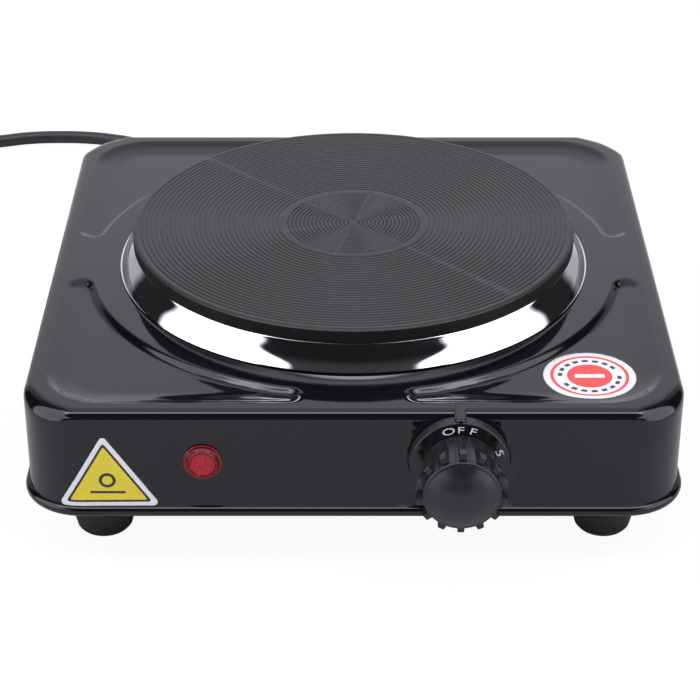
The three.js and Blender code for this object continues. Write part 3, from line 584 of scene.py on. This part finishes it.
def make_strain_relief():
    """A tapered sleeve with four soft ribs and a round flange against the wall."""
    low, high = case_box("strain_relief")
    x, _, z = (low + high) / 2
    tip = high[1] - HALF
    flange, ribs = 3.2, 4
    corners = [(0, 0.3, 0), (7.6, 0.3, 0.3), (7.6, 2.4, 0.6), (6.8, flange, 0.5)]
    for rib in range(ribs):
        start = flange + (tip - flange) * rib / ribs
        stop = flange + (tip - flange) * (rib + 0.6) / ribs
        radius = 5.7 - 1.7 * rib / (ribs - 1)
        corners += [(radius, start + 0.1, 0.5), (radius - 0.2, stop, 0.8)]
        corners += [(radius - 0.9, stop + 0.3, 0.4)]
    corners += [(3.3, tip, 0.5), (0, tip, 0)]
    points, faces = revolve(rounded(corners), 48)
    points = on_rear_wall(points, x, z)
    return add_piece("cord_strain_relief", (points, faces), [RUBBER], ["strain_relief"])


def tie_strap(inner, outer, low, high):
    """A flat strap round the turns, between two distances from the coil's middle."""
    thickness, half_width = 0.55, 3.6
    outside = [
        (inner, low, 2), (outer, low, 2.4), (outer, high - 4, 3), (outer - 3.4, high, 3),
        (inner + 2, high, 3), (inner, high - 3, 2),
    ]
    loop = rounded(outside, closed=True, steps=6)
    toward = loop.mean(axis=0) - loop
    toward /= np.linalg.norm(toward, axis=1)[:, None]
    rings = []
    for inset, half in (
        (0, half_width), (0, -half_width), (thickness, -half_width), (thickness, half_width),
    ):
        section = loop + toward * inset
        rings.append(np.column_stack([section[:, 0], np.full(len(loop), half), section[:, 1]]))
    return skin(rings, close=True)


def tie_buckle(middle, high):
    """The small block on top of the strap."""
    corners = [(-4.4, -2.6, 1), (4.4, -2.6, 1), (4.4, 2.6, 1), (-4.4, 2.6, 1)]
    outline = rounded(corners, closed=True)
    rings = []
    for inset, z in ((0, high - 0.1), (0, high + 1.0), (0.5, high + 1.5)):
        size = 1 - inset / 4
        rings.append(np.column_stack([
            middle + outline[:, 1] * size, outline[:, 0] * size, np.full(len(outline), z),
        ]))
    return skin(rings, True, True)


def make_tie():
    """A flat strap round the turns, with its small buckle on top."""
    inner, outer, low, high = 24.6, 38.2, 0.05, 11.4
    strap = tie_strap(inner, outer, low, high)
    points, faces = merged(strap, tie_buckle((inner + outer) / 2, high))
    turned = math.radians(TIE_ANGLE)
    x, y = points[:, 0].copy(), points[:, 1].copy()
    points[:, 0] = COIL_CENTRE[0] + x * math.cos(turned) - y * math.sin(turned)
    points[:, 1] = COIL_CENTRE[1] + x * math.sin(turned) + y * math.cos(turned)
    return add_piece("coil_tie", (points, faces), [BLACK_PLASTIC], ["cord_tie"])


def make_plug():
    """The moulded body of the plug: a ribbed neck that swells into a rounded head."""
    low, high = case_box("plug_body")
    x, _, z = (low + high) / 2
    half_x, length, half_z = (high - low) * (0.5, 1, 0.5)
    # Distance from the neck's end, half width and half height.
    stations = [
        (0, 3.4, 3.4), (0.5, 4.1, 4.1), (2.2, 4.2, 4.2), (2.5, 3.7, 3.7), (3.9, 3.7, 3.7),
        (4.2, 4.5, 4.5), (6.2, 4.6, 4.6), (6.5, 4.0, 4.0), (7.9, 4.0, 4.0), (8.2, 4.8, 4.8),
        (11.5, 5.0, 4.9), (14.5, 7.2, 6.3), (18, 9.7, 8.0), (21, 11.5, 9.2), (24.5, 12.7, 9.8),
        (28, half_x, half_z), (33, half_x - 0.5, half_z), (38, half_x, half_z),
        (length - 1.2, half_x, half_z), (length - 0.3, half_x - 0.5, half_z - 0.5),
        (length, half_x - 1.4, half_z - 1.4),
    ]
    segments = 64
    cos, sin = unit_circle(circle_angles(segments)).T
    rings = []
    for along, wide, tall in stations:
        square = 0.5 + 0.5 * (1 - smooth((along - 10) / 18))
        rings.append(np.column_stack([
            x + wide * np.sign(cos) * np.abs(cos) ** square,
            np.full(segments, high[1] - along),
            z + tall * np.sign(sin) * np.abs(sin) ** square,
        ]))
    return add_piece(
        "plug_moulding", skin(rings, True, True), [BLACK_PLASTIC], ["plug_body"],
    )


def declare_lead():
    lead = make_cord()
    relief = make_strain_relief()
    tie = make_tie()
    plug = make_plug()


declare_lead()

# ---- case

# Points along each side of the wall and round each of its corners.
SIDE_STEPS = 176
CORNER_STEPS = 44


def outline_columns():
    """Points and outward normals round the wall, from the front end of the right side."""
    straight = HALF - CORNER
    places = []
    normals = []
    for quarter in range(4):
        turn = quarter * TURN / 4
        along = np.linspace(-straight, straight, SIDE_STEPS, endpoint=False)
        side = np.column_stack([np.full(SIDE_STEPS, HALF), along])
        bend = np.arange(CORNER_STEPS) / CORNER_STEPS * TURN / 4
        around = unit_circle(bend)
        local = np.concatenate([side, straight + CORNER * around])
        facing = np.concatenate([np.tile([1.0, 0.0], (SIDE_STEPS, 1)), around])
        spin = np.array([[math.cos(turn), math.sin(turn)], [-math.sin(turn), math.cos(turn)]])
        places.append(local @ spin)
        normals.append(facing @ spin)
    return np.concatenate(places), np.concatenate(normals)


def pad_depth(flat):
    """How far the pads press the top down at points (x, y)."""
    x, y = np.abs(flat).T
    near = PAD_LIMIT - PAD_END
    far = math.sqrt((PAD_INNER + PAD_END) ** 2 - near**2)
    end_angle = math.atan2(far, near)
    corner = PAD_LIMIT - PAD_CORNER
    over_x, over_y = x - corner, y - corner
    outside = np.hypot(np.maximum(over_x, 0), np.maximum(over_y, 0))
    outer = PAD_CORNER - outside - np.minimum(np.maximum(over_x, over_y), 0)
    floor = RIM_DEPTH + (PAD_DEPTH - RIM_DEPTH) * smooth((outer - 2) / 8)
    inner = np.hypot(x, y) - PAD_INNER
    share = np.minimum(smooth(outer / OUTER_SLOPE), smooth(inner / INNER_SLOPE))
    for first, second in ((x, y), (y, x)):
        u, v = first - near, second - far
        turned = (np.arctan2(v, u) % TURN - end_angle - math.pi) / (math.pi - end_angle)
        slope = INNER_SLOPE + (OUTER_SLOPE - INNER_SLOPE) * np.clip(turned, 0, 1)
        share = np.where(turned > 0, smooth((PAD_END - np.hypot(u, v)) / slope), share)
    return floor * share


def top_shares():
    """Shares of the way from the flat middle to the round edge, closer together at its ends."""
    near = np.linspace(0.0, 0.13, 15)
    middle = np.linspace(0.13, 0.86, 22)[1:-1]
    far = np.linspace(0.86, 1.0, 17)
    return np.concatenate([near, middle, far])


class CaseRings:
    """Rings of the case, each with one point for every column round the wall."""

    def __init__(self):
        self.places, self.normals = outline_columns()
        self.toward = self.places / np.linalg.norm(self.places, axis=1)[:, None]
        diagonal = np.abs(self.normals[:, 0] * self.normals[:, 1]) * 2
        self.edge = EDGE_SIDE + (EDGE_CORNER - EDGE_SIDE) * smooth(diagonal)
        self.rings = []

    def level(self, inset, z):
        """Adds a ring at a distance inside the wall's outer face."""
        inset = np.broadcast_to(inset, len(self.places))[:, None]
        self.rings.append(at_height(self.places - self.normals * inset, z))

    def circle(self, radius, z):
        """Adds a round ring about the plate's axis."""
        self.rings.append(at_height(self.toward * radius, z))


def case_top(case):
    """The hem of the opening, the flat middle and the top with its pads."""
    flat_radius = 90.0
    for radius, z in (
        (OPENING, TOP - 0.6), (OPENING + 0.15, TOP - 0.2), (OPENING + 0.6, TOP), (84, TOP),
        (flat_radius, TOP),
    ):
        case.circle(radius, z)
    start = case.toward * flat_radius
    finish = case.places - case.normals * case.edge[:, None]
    for share in top_shares()[1:]:
        flat = start + (finish - start) * share
        case.rings.append(at_height(flat, TOP - pad_depth(flat)))


def case_wall(case):
    """The round edge, the wall and the rolled bead at its foot."""
    edge = case.edge
    for angle in np.linspace(0, TURN / 4, 11)[1:]:
        case.level(edge * (1 - math.sin(angle)), TOP - edge * (1 - math.cos(angle)))
    bead_middle = BOTTOM + BEAD_HEIGHT / 2
    for z in np.linspace(TOP - EDGE_CORNER - 0.5, bead_middle + BEAD_HEIGHT / 2 + 1.0, 5):
        case.level(0, z)
    case.level(-0.12, bead_middle + BEAD_HEIGHT / 2 + 0.2)
    for angle in np.linspace(70, -90, 11):
        reach = BEAD_REACH * math.cos(math.radians(angle)) ** 0.8
        z = bead_middle + BEAD_HEIGHT / 2 * math.sin(math.radians(angle))
        case.level(-reach, z)


def case_inside(case):
    """The inner face, low enough to clear the pads."""
    ceiling = TOP - 3.3
    case.level(THICKNESS, BOTTOM)
    case.level(THICKNESS, TOP - 7)
    case.level(2.6, TOP - 4.4)
    case.level(6.5, ceiling)
    case.circle(91, ceiling)
    case.circle(88, TOP - THICKNESS)
    case.circle(OPENING, TOP - THICKNESS)


def make_case():
    """The pressed case: top, pads, round edge, wall and rolled bead, with its inside."""
    case = CaseRings()
    case_top(case)
    case_wall(case)
    case_inside(case)
    solid = merged(skin(case.rings, close=True), knob_boss(), pointer_rib())
    add_piece("case_shell", solid, [ENAMEL], ["top_housing"])


# ---- front of the case

dial_low, dial_high = case_box("knob_dial")
KNOB_X, _, KNOB_Z = (dial_low + dial_high) / 2
DIAL = (dial_high[0] - dial_low[0]) / 2
DIAL_FRONT = -HALF - dial_low[1]
GRIP_FRONT = -HALF - case_box("knob_grip")[0][1]

# How far below the wall's face the boss starts, and the angle over which it runs out.
BOSS_ROOT = 0.6
BOSS_RUN_OUT = 0.7


def knob_boss():
    """The low raised ring in the wall round the dial, which runs out below the top edge."""
    inner = DIAL + 0.35
    outer = inner + 3.6
    profile = rounded([
        (inner, -BOSS_ROOT, 0), (inner, 0.7, 0.3), (inner + 0.9, 0.7, 0.5),
        (outer - 0.3, -0.02, 1.0), (outer, -BOSS_ROOT, 0),
    ], closed=True)
    radius, out = profile.T
    reach = math.pi - math.acos((TOP - EDGE_CORNER - KNOB_Z) / outer)
    rings = []
    for turned in np.linspace(-reach, reach, 121):
        height = smooth((reach - abs(turned)) / BOSS_RUN_OUT)
        lifted = (out + BOSS_ROOT) * height - BOSS_ROOT
        section = np.column_stack([radius * math.sin(turned), -radius * math.cos(turned), lifted])
        rings.append(on_front_wall(section, KNOB_X, KNOB_Z))
    return skin(rings, True, True)


def pointer_rib():
    """The fixed mark above the dial: a rib from the top edge with a round nose."""
    half_width, nose = 1.9, -HALF - DIAL_FRONT
    bottom, top = KNOB_Z + DIAL + 0.3, TOP + 0.25
    bend = np.linspace(math.pi, TURN, 13)
    tip = np.column_stack([half_width * np.cos(bend), half_width * np.sin(bend) + nose + half_width])
    root = -HALF + 5
    outline = np.concatenate([[[half_width, root], [-half_width, root]], tip])
    rings = []
    for shrink, z in (
        (0, bottom), (0, top - 0.9), (0.06, top - 0.5), (0.22, top - 0.15), (0.45, top),
    ):
        size = 1 - shrink
        rings.append(np.column_stack([
            KNOB_X + outline[:, 0] * size,
            np.maximum(outline[:, 1], nose + shrink * half_width),
            np.full(len(outline), z),
        ]))
    return skin(rings, True, True)


def make_dial():
    """The disc behind the grip: a glossy front face, and a duller back and rim."""
    bore = 3.4
    profile = rounded([
        (bore, 0.5, 0), (DIAL, 0.5, 0.3), (DIAL, DIAL_FRONT, 0.55), (bore, DIAL_FRONT, 0),
    ])
    segments = 128
    points, faces = revolve(np.vstack([profile, profile[:1]]), segments)
    points = on_front_wall(points, KNOB_X, KNOB_Z)
    rim_levels = len(profile) - 4
    shades = [int(face // segments < rim_levels) for face in range(len(faces))]
    add_piece(
        "dial", (points, faces), [DIAL_PLASTIC, DIAL_RIM], ["knob_dial"], shades,
        "knob",
    )


# Print on the dial: sizes in millimetres, and places in degrees round from the top.
LETTER_HEIGHT = 2.4
LETTER_STRETCH = 1.55
LETTER_STEP = 17
TEXT_RADIUS = 13.4
DIAL_TURN = 0.5
FIRST_NUMBER = 112
NUMBER_STEP = 45
NUMBERS = 5
# Height of a capital letter in Blender's own font, as a share of its size.
CAPITAL = 0.7


def glyph(text):
    """The flat mesh of one letter or number from Blender's own font, one unit high."""
    curve = bpy.data.curves.new("glyph", "FONT")
    curve.body = text
    curve.align_x = "CENTER"
    curve.align_y = "CENTER"
    curve.extrude = 0.02
    made = bpy.data.objects.new("glyph", curve)
    bpy.context.scene.collection.objects.link(made)
    bpy.context.view_layer.update()
    mesh = made.evaluated_get(bpy.context.evaluated_depsgraph_get()).to_mesh()
    points = np.array([v.co for v in mesh.vertices], float)
    faces = [tuple(p.vertices) for p in mesh.polygons]
    bpy.data.objects.remove(made)
    middle = (points.max(axis=0) + points.min(axis=0)) / 2
    return (points - middle) / CAPITAL, faces


def print_on_dial(text, clockwise):
    """One letter or number, upright at the top of the dial and then turned clockwise."""
    points, faces = glyph(text)
    turned = math.radians(clockwise)
    across = points[:, 0] * LETTER_HEIGHT * LETTER_STRETCH
    up = points[:, 1] * LETTER_HEIGHT + TEXT_RADIUS
    u = across * math.cos(turned) + up * math.sin(turned)
    v = up * math.cos(turned) - across * math.sin(turned)
    out = DIAL_FRONT + 0.02 + points[:, 2]
    return on_front_wall(np.column_stack([u, v, out]), KNOB_X, KNOB_Z), faces


def make_dial_print():
    """OFF at the top and the numbers 1 to 5, which come round as the dial turns clockwise."""
    marks = []
    for i, letter in enumerate("OFF"):
        marks.append(print_on_dial(letter, DIAL_TURN + (i - 1) * LETTER_STEP))
    for i in range(NUMBERS):
        marks.append(print_on_dial(str(i + 1), -FIRST_NUMBER - i * NUMBER_STEP))
    add_piece("dial_numbers", merged(*marks), [WHITE_PRINT], body="knob")


# The grip: radii from the knob's axis, and fronts measured out from the wall.
RIBS = 14
TRUNK = 11.3
RIB_RADIUS = 14.6
RIB_FRONT = 20.6
RIM_FRONT = 21.9
FACE = 12.2


def grip_radius(angles, land, valley):
    """The radius round the grip: narrow ribs with wide scoops between them."""
    share = (angles / TURN * RIBS + 0.5) % 1 - 0.5
    side = np.abs(share) * 2
    rise = 1 - smooth((side - 0.3) / 0.16)
    scoop = 0.12 * smooth((side - 0.46) / 0.54)
    return valley + (land - valley) * (rise - scoop)


def grip_trunk():
    """Rings of the trunk and its ribs, as (radii, distance from the wall)."""
    around = circle_angles(RIBS * 40)
    back = DIAL_FRONT + 0.15
    rings = []
    for share in np.linspace(0, 1, 24):
        flare = smooth((share - 0.3) / 0.62)
        land = TRUNK + 0.3 + (RIB_RADIUS - TRUNK - 0.3) * flare
        valley = TRUNK + 0.3 + 0.5 * flare
        radii = grip_radius(around, land, valley)
        rings.append((radii, back + (RIB_FRONT - 0.55 - back) * share))
    front = grip_radius(around, RIB_RADIUS, TRUNK + 0.8)
    rings += [(front - 0.08, RIB_FRONT - 0.22), (front - 0.38, RIB_FRONT)]
    rings.append((np.minimum(front - 0.9, FACE + 1.0), RIB_FRONT + 0.02))
    return rings


def grip_face():
    """Rings of the round rim in front of the ribs and of its domed face."""
    rings = [
        (FACE - 0.45, RIB_FRONT + 0.05), (FACE - 0.1, RIB_FRONT + 0.25), (FACE, RIB_FRONT + 0.5),
        (FACE, RIM_FRONT - 0.45), (FACE - 0.12, RIM_FRONT - 0.15), (FACE - 0.42, RIM_FRONT + 0.05),
    ]
    edge = FACE - 0.75
    crown = GRIP_FRONT - RIM_FRONT - 0.15
    for share in (1.0, 0.95, 0.86, 0.74, 0.6, 0.45, 0.3, 0.15, 0.0):
        rings.append((edge * share, GRIP_FRONT - 0.05 - crown * share**2))
    return rings


def make_grip():
    """The knob: a trunk that flares into fourteen ribs, and a domed face in front of them."""
    around = unit_circle(circle_angles(RIBS * 40) + TURN / 4)
    rings = []
    for radius, out in grip_trunk() + grip_face():
        radius = np.broadcast_to(radius, len(around))[:, None]
        rings.append(on_front_wall(at_height(around * radius, out), KNOB_X, KNOB_Z))
    solid = skin(rings, cap_start=True)
    add_piece("grip", solid, [GRIP_PLASTIC], ["knob_grip"], body="knob")


def lens_facets(face, reach):
    """The lens's front face out to a radius, as a grid pressed into small pyramids."""
    steps = 41
    pitch, height = 0.92, 0.35
    line = np.linspace(-face, face, steps)
    across, up = np.meshgrid(line, line)
    turned = (across + up) / math.sqrt(2), (across - up) / math.sqrt(2)
    ridges = [np.abs((t / pitch) % 1 - 0.5) * 2 for t in turned]
    heights = reach - 0.55 + height * np.minimum(*ridges)
    grid = np.column_stack([across.ravel(), up.ravel(), heights.ravel()])
    keep = np.hypot(across, up).ravel() < face - 0.05
    faces = []
    for i in range(steps - 1):
        for j in range(steps - 1):
            corner = i * steps + j
            quad = (corner, corner + 1, corner + steps + 1, corner + steps)
            if all(keep[k] for k in quad):
                faces.append(quad)
    used = sorted({k for quad in faces for k in quad})
    index = {k: n for n, k in enumerate(used)}
    return grid[used], [tuple(index[k] for k in quad) for quad in faces]


def make_lens():
    """The red cap: a thin flange, a sloping side and a front face cut into small pyramids."""
    low, high = case_box("indicator_lens")
    x, _, z = (low + high) / 2
    flange = (high[0] - low[0]) / 2
    reach = -HALF - low[1]
    face, root = 4.3, -3.0
    profile = rounded([
        (flange - 1.2, root, 0), (flange - 1.2, 0.05, 0), (flange, 0.05, 0.1),
        (flange, 0.75, 0.3), (flange - 0.9, 1.0, 0.3), (face + 0.5, reach, 0.45),
        (face, reach, 0.1), (face - 0.15, reach - 0.5, 0),
    ])
    segments = 96
    side = revolve(profile, segments)
    facets = lens_facets(face, reach)
    behind = reach - 0.9
    backing = revolve([(0, behind), (face, behind), (face + 0.1, root), (0, root)], segments)
    points, faces = merged(side, facets, backing)
    points = on_front_wall(points, x, z)
    # Flange, side and backing take the darker red, painted shade; the facets take the lighter red,
    # painted light.
    shades = [0] * len(side[1]) + [1] * len(facets[1]) + [0] * len(backing[1])
    add_piece(
        "lamp_lens", (points, faces), [SHADED_RED_LENS, LIT_RED_FACETS], ["indicator_lens"],
        shades,
    )


make_case()
make_dial()
make_dial_print()
make_grip()
make_lens()

# ---- plate, ring and feet

# Bands of grooves as (inner radius, outer radius, pitch), and a groove's shape as pairs of
# (share of the pitch, share of the depth).
GROOVES = [(1.0, 24.4, 1.40), (25.6, 75.6, 1.71)]
GROOVE_DEPTH = 0.24
GROOVE_SHAPE = ((0.0, 0.0), (0.54, 0.0), (0.68, 1.0), (0.86, 1.0))


def grooved_top(top):
    """The plate's top from its middle outwards, with a turned groove at each pitch."""
    profile = [(0.0, top)]
    for inner, outer, pitch in GROOVES:
        count = int((outer - inner) / pitch)
        for groove in range(count):
            for share, low in GROOVE_SHAPE:
                profile.append((inner + (groove + share) * pitch, top - GROOVE_DEPTH * low))
        profile.append((inner + count * pitch, top))
    return profile


def make_plate():
    """The cast plate: a turned top, a straight side, and a hollow below for the element."""
    low, high = case_box("cast_iron_plate")
    radius, top, bottom = (high[0] - low[0]) / 2, high[2], low[2]
    rim, groove, stud = top - 5, bottom + 6.4, bottom + 9.9
    neck = radius - 2
    side = rounded([
        (radius - 0.7, top, 0.3), (radius, top - 0.6, 0.35), (radius, rim, 0.5),
        (neck, rim, 0.6), (neck, bottom, 0.5), (70.0, bottom, 0.4), (70.0, groove, 0.6),
        (31.0, groove, 0.6), (31.0, bottom, 0.4), (4.0, bottom, 0.3), (4.0, stud, 0), (0, stud, 0),
    ])
    turned = grooved_top(top)
    segments = 240
    solid = revolve([*turned, *side], segments)
    # Faces past the turned top take the darker copy of the iron, painted shade.
    top_levels = len(turned) + 3
    shades = [int(face // segments >= top_levels) for face in range(len(solid[1]))]
    add_piece("hot_plate", solid, [IRON, SHADED_IRON_SIDE], ["cast_iron_plate"], shades)


def make_spill_ring():
    """The chromed ring: a flange under the plate, a bulging cone and a rolled foot."""
    low, high = case_box("spill_ring")
    foot, top, bottom = (high[0] - low[0]) / 2, high[2], low[2]
    shoulder, flange, sheet = 77.2, 75.5, 0.8
    steps = 16
    lean_top, lean_foot = math.radians(40), math.radians(26)
    cone = [(0.0, 0.0)]
    for i in range(steps):
        lean = lean_top + (lean_foot - lean_top) * smooth((i / steps - 0.1) / 0.75)
        cone.append((cone[-1][0] + math.sin(lean), cone[-1][1] + math.cos(lean)))
    wide = (foot - 0.35 - shoulder) / cone[-1][0]
    tall = (top - bottom - 0.5) / cone[-1][1]
    outer = [(shoulder + a * wide, top - 0.3 - b * tall) for a, b in cone]
    inner = [(a - sheet, b - 0.25) for a, b in reversed(outer)]
    roll = [
        (foot - 0.1, bottom + 0.3), (foot, bottom + 0.15), (foot - 0.1, bottom),
        (foot - 0.9, bottom),
    ]
    start = [
        (flange, top - 0.7), (flange, top), (shoulder - 0.35, top), (shoulder - 0.1, top - 0.08),
    ]
    solid = revolve([*start, *outer, *roll, *inner], 256, closed=True)
    add_piece("spill_collar", solid, [CHROME], ["spill_ring"])


def make_feet():
    """Four rubber feet that narrow downwards, each with a bore for its screw."""
    for corner in ("front_left", "front_right", "rear_left", "rear_right"):
        node = f"foot_{corner}"
        low, high = case_box(node)
        x, y, _ = (low + high) / 2
        wide, height = (high[0] - low[0]) / 2, high[2]
        bore, hole, seat = 4.4, 2.4, 9
        profile = rounded([
            (bore, 0, 0.3), (wide - 2.4, 0, 0.8), (wide - 1.2, 1.4, 1.2), (wide - 0.5, 4.5, 2),
            (wide, 10, 2), (wide, height, 0.4), (hole, height, 0), (hole, seat, 0),
            (bore, seat, 0.3),
        ], closed=True)
        solid = revolve(profile, 64, x, y, closed=True)
        add_piece(f"rubber_{node}", solid, [RUBBER], [node])


make_plate()
make_spill_ring()
make_feet()

# ---- stickers

# The triangle's corners: distance along the front wall from its middle, and height.
TRIANGLE = np.array([(-94.8, 23.3), (-61.8, 23.5), (-79.5, 49.9)])


def round_triangle(inset, radius, steps=8, side_steps=14):
    """The sticker's outline moved inwards, with round corners, as (distance, z) pairs."""
    normals = []
    for i in range(3):
        edge = TRIANGLE[(i + 1) % 3] - TRIANGLE[i]
        normals.append(np.array([-edge[1], edge[0]]) / np.linalg.norm(edge))
    centres = []
    for i in range(3):
        rows = np.array([normals[i - 1], normals[i]])
        centres.append(np.linalg.solve(rows, rows @ TRIANGLE[i] + inset + radius))
    line = []
    for i in range(3):
        start, stop = -normals[i - 1], -normals[i]
        first = math.atan2(start[1], start[0])
        sweep = (math.atan2(stop[1], stop[0]) - first) % TURN
        for k in range(steps + 1):
            angle = first + sweep * k / steps
            line.append(centres[i] + radius * np.array([math.cos(angle), math.sin(angle)]))
        following = centres[(i + 1) % 3] - radius * normals[i]
        for k in range(1, side_steps):
            line.append(line[-1] + (following - line[-1]) / (side_steps - k + 1))
    return np.array(line)


def on_bent_wall(flat, lift):
    """Points at a distance along the front wall and a height, on the wall or round its corner."""
    distance, z = np.asarray(flat, float).T
    straight = HALF - CORNER
    angle = np.maximum(np.abs(distance) - straight, 0) / CORNER
    radius = CORNER + lift
    x = np.minimum(np.abs(distance), straight) + radius * np.sin(angle)
    y = -straight - radius * np.cos(angle)
    return np.column_stack([np.sign(distance) * x, y, z])


def bent_disc(centre, radius, lift, segments=40):
    """A flat disc laid on the front wall."""
    around = unit_circle(circle_angles(segments))
    rings = []
    for share in (1.0, 0.5, 0.0):
        rings.append(on_bent_wall(centre + radius * share * around, lift))
    return skin(rings)


def bent_bar(left, right, half_height, lift, steps=16):
    """A flat bar laid on the front wall, from left to right."""
    along = np.linspace(0, 1, steps + 1)[:, None]
    line = left + (right - left) * along
    up = np.array([0, half_height])
    points = on_bent_wall(np.concatenate([line - up, line + up]), lift)
    faces = [(i, i + 1, steps + 2 + i, steps + 1 + i) for i in range(steps)]
    return points, faces


def triangle_film(film):
    """The sticker's film as (points, faces) and a shade for each face."""
    white, dark, yellow = 0, 1, 2
    bands = [
        (0.0, 1.3, 0.1, white), (0.0, 1.3, film, white), (1.45, 0.7, film, white),
        (1.46, 0.7, film, dark), (2.25, 0.4, film, dark), (2.26, 0.4, film, yellow),
    ]
    rings = []
    shades = []
    for inset, radius, lift, shade in bands:
        rings.append(on_bent_wall(round_triangle(inset, radius), lift))
        shades.append(shade)
    middle = TRIANGLE.mean(axis=0)
    line = round_triangle(2.26, 0.4)
    for share in (0.85, 0.7, 0.55, 0.4, 0.25, 0.1, 0.0):
        rings.append(on_bent_wall(middle + (line - middle) * share, film))
        shades.append(yellow)
    count = len(rings[0])
    face_shades = [shade for shade in shades[1:] for _ in range(count)]
    return skin(rings), face_shades


def make_triangle_sticker():
    """A yellow triangle with a white margin, a dark line and a plain ring over a bar."""
    film, ink = 0.45, 0.49
    dark, yellow = 1, 2
    solid, face_shades = triangle_film(film)
    middle = TRIANGLE.mean(axis=0)
    low = middle + np.array([0.1, -3.6])
    half_bar = np.array([5.6, 0])
    bar = bent_bar(low - half_bar, low + half_bar, 0.42, ink)
    disc_middle = middle + np.array([0.1, 0.9])
    disc = bent_disc(disc_middle, 2.7, ink)
    disc_centre = bent_disc(disc_middle, 1.7, ink + 0.03)
    marks = ((bar, dark), (disc, dark), (disc_centre, yellow))
    for (_, mark_faces), shade in marks:
        face_shades += [shade] * len(mark_faces)
    solid = merged(solid, *(mark for mark, _ in marks))
    add_piece(
        "triangle_sticker", solid, [WHITE_PRINT, DARK_PRINT, YELLOW_PRINT],
        ["hot_surface_sticker"], face_shades,
    )


def dash_shade(segment):
    """Dark or white for one segment of the ring of dashes, which has two wider gaps."""
    white, dark = 0, 2
    in_gap = segment % 12 < 5 or segment % 108 < 12
    return white if in_gap else dark


def sticker_bar(x, y, top):
    """The white bar across the middle of the round sticker."""
    half_long, half_wide, corner = 4.9, 1.15, 0.5
    outline = rounded([
        (-half_long, -half_wide, corner), (half_long, -half_wide, corner),
        (half_long, half_wide, corner), (-half_long, half_wide, corner),
    ], closed=True)
    upper = at_height((x, y) + outline, top + 0.03 - PAD_DEPTH)
    return skin([upper - [0, 0, 0.03], upper], False, True)


def make_round_sticker():
    """A white disc with a red ring, a ring of short dashes and a red disc crossed by a bar."""
    low, high = case_box("round_sticker")
    x, y, _ = (low + high) / 2
    edge = (high[0] - low[0]) / 2
    base, top = TOP + 0.02, TOP + 0.16
    white, red, dashes = 0, 1, -1
    bands = [
        (edge, base, white), (edge, top - 0.03, white), (edge - 0.04, top, white),
        (12.8, top, white), (11.7, top, red), (10.3, top, white), (8.9, top, dashes),
        (7.35, top, white), (0.0, top, red),
    ]
    segments = 216
    around = unit_circle(circle_angles(segments))
    rings = []
    for radius, z, _ in bands:
        flat = (x, y) + radius * around
        rings.append(at_height(flat, z - pad_depth(flat)))
    shades = []
    for _, _, shade in bands[1:]:
        for segment in range(segments):
            shades.append(dash_shade(segment) if shade == dashes else shade)
    bar = sticker_bar(x, y, top)
    shades += [white] * len(bar[1])
    add_piece(
        "disc_sticker", merged(skin(rings), bar), [WHITE_PRINT, RED_PRINT, DARK_PRINT],
        ["round_sticker"], shades,
    )


make_triangle_sticker()
make_round_sticker()
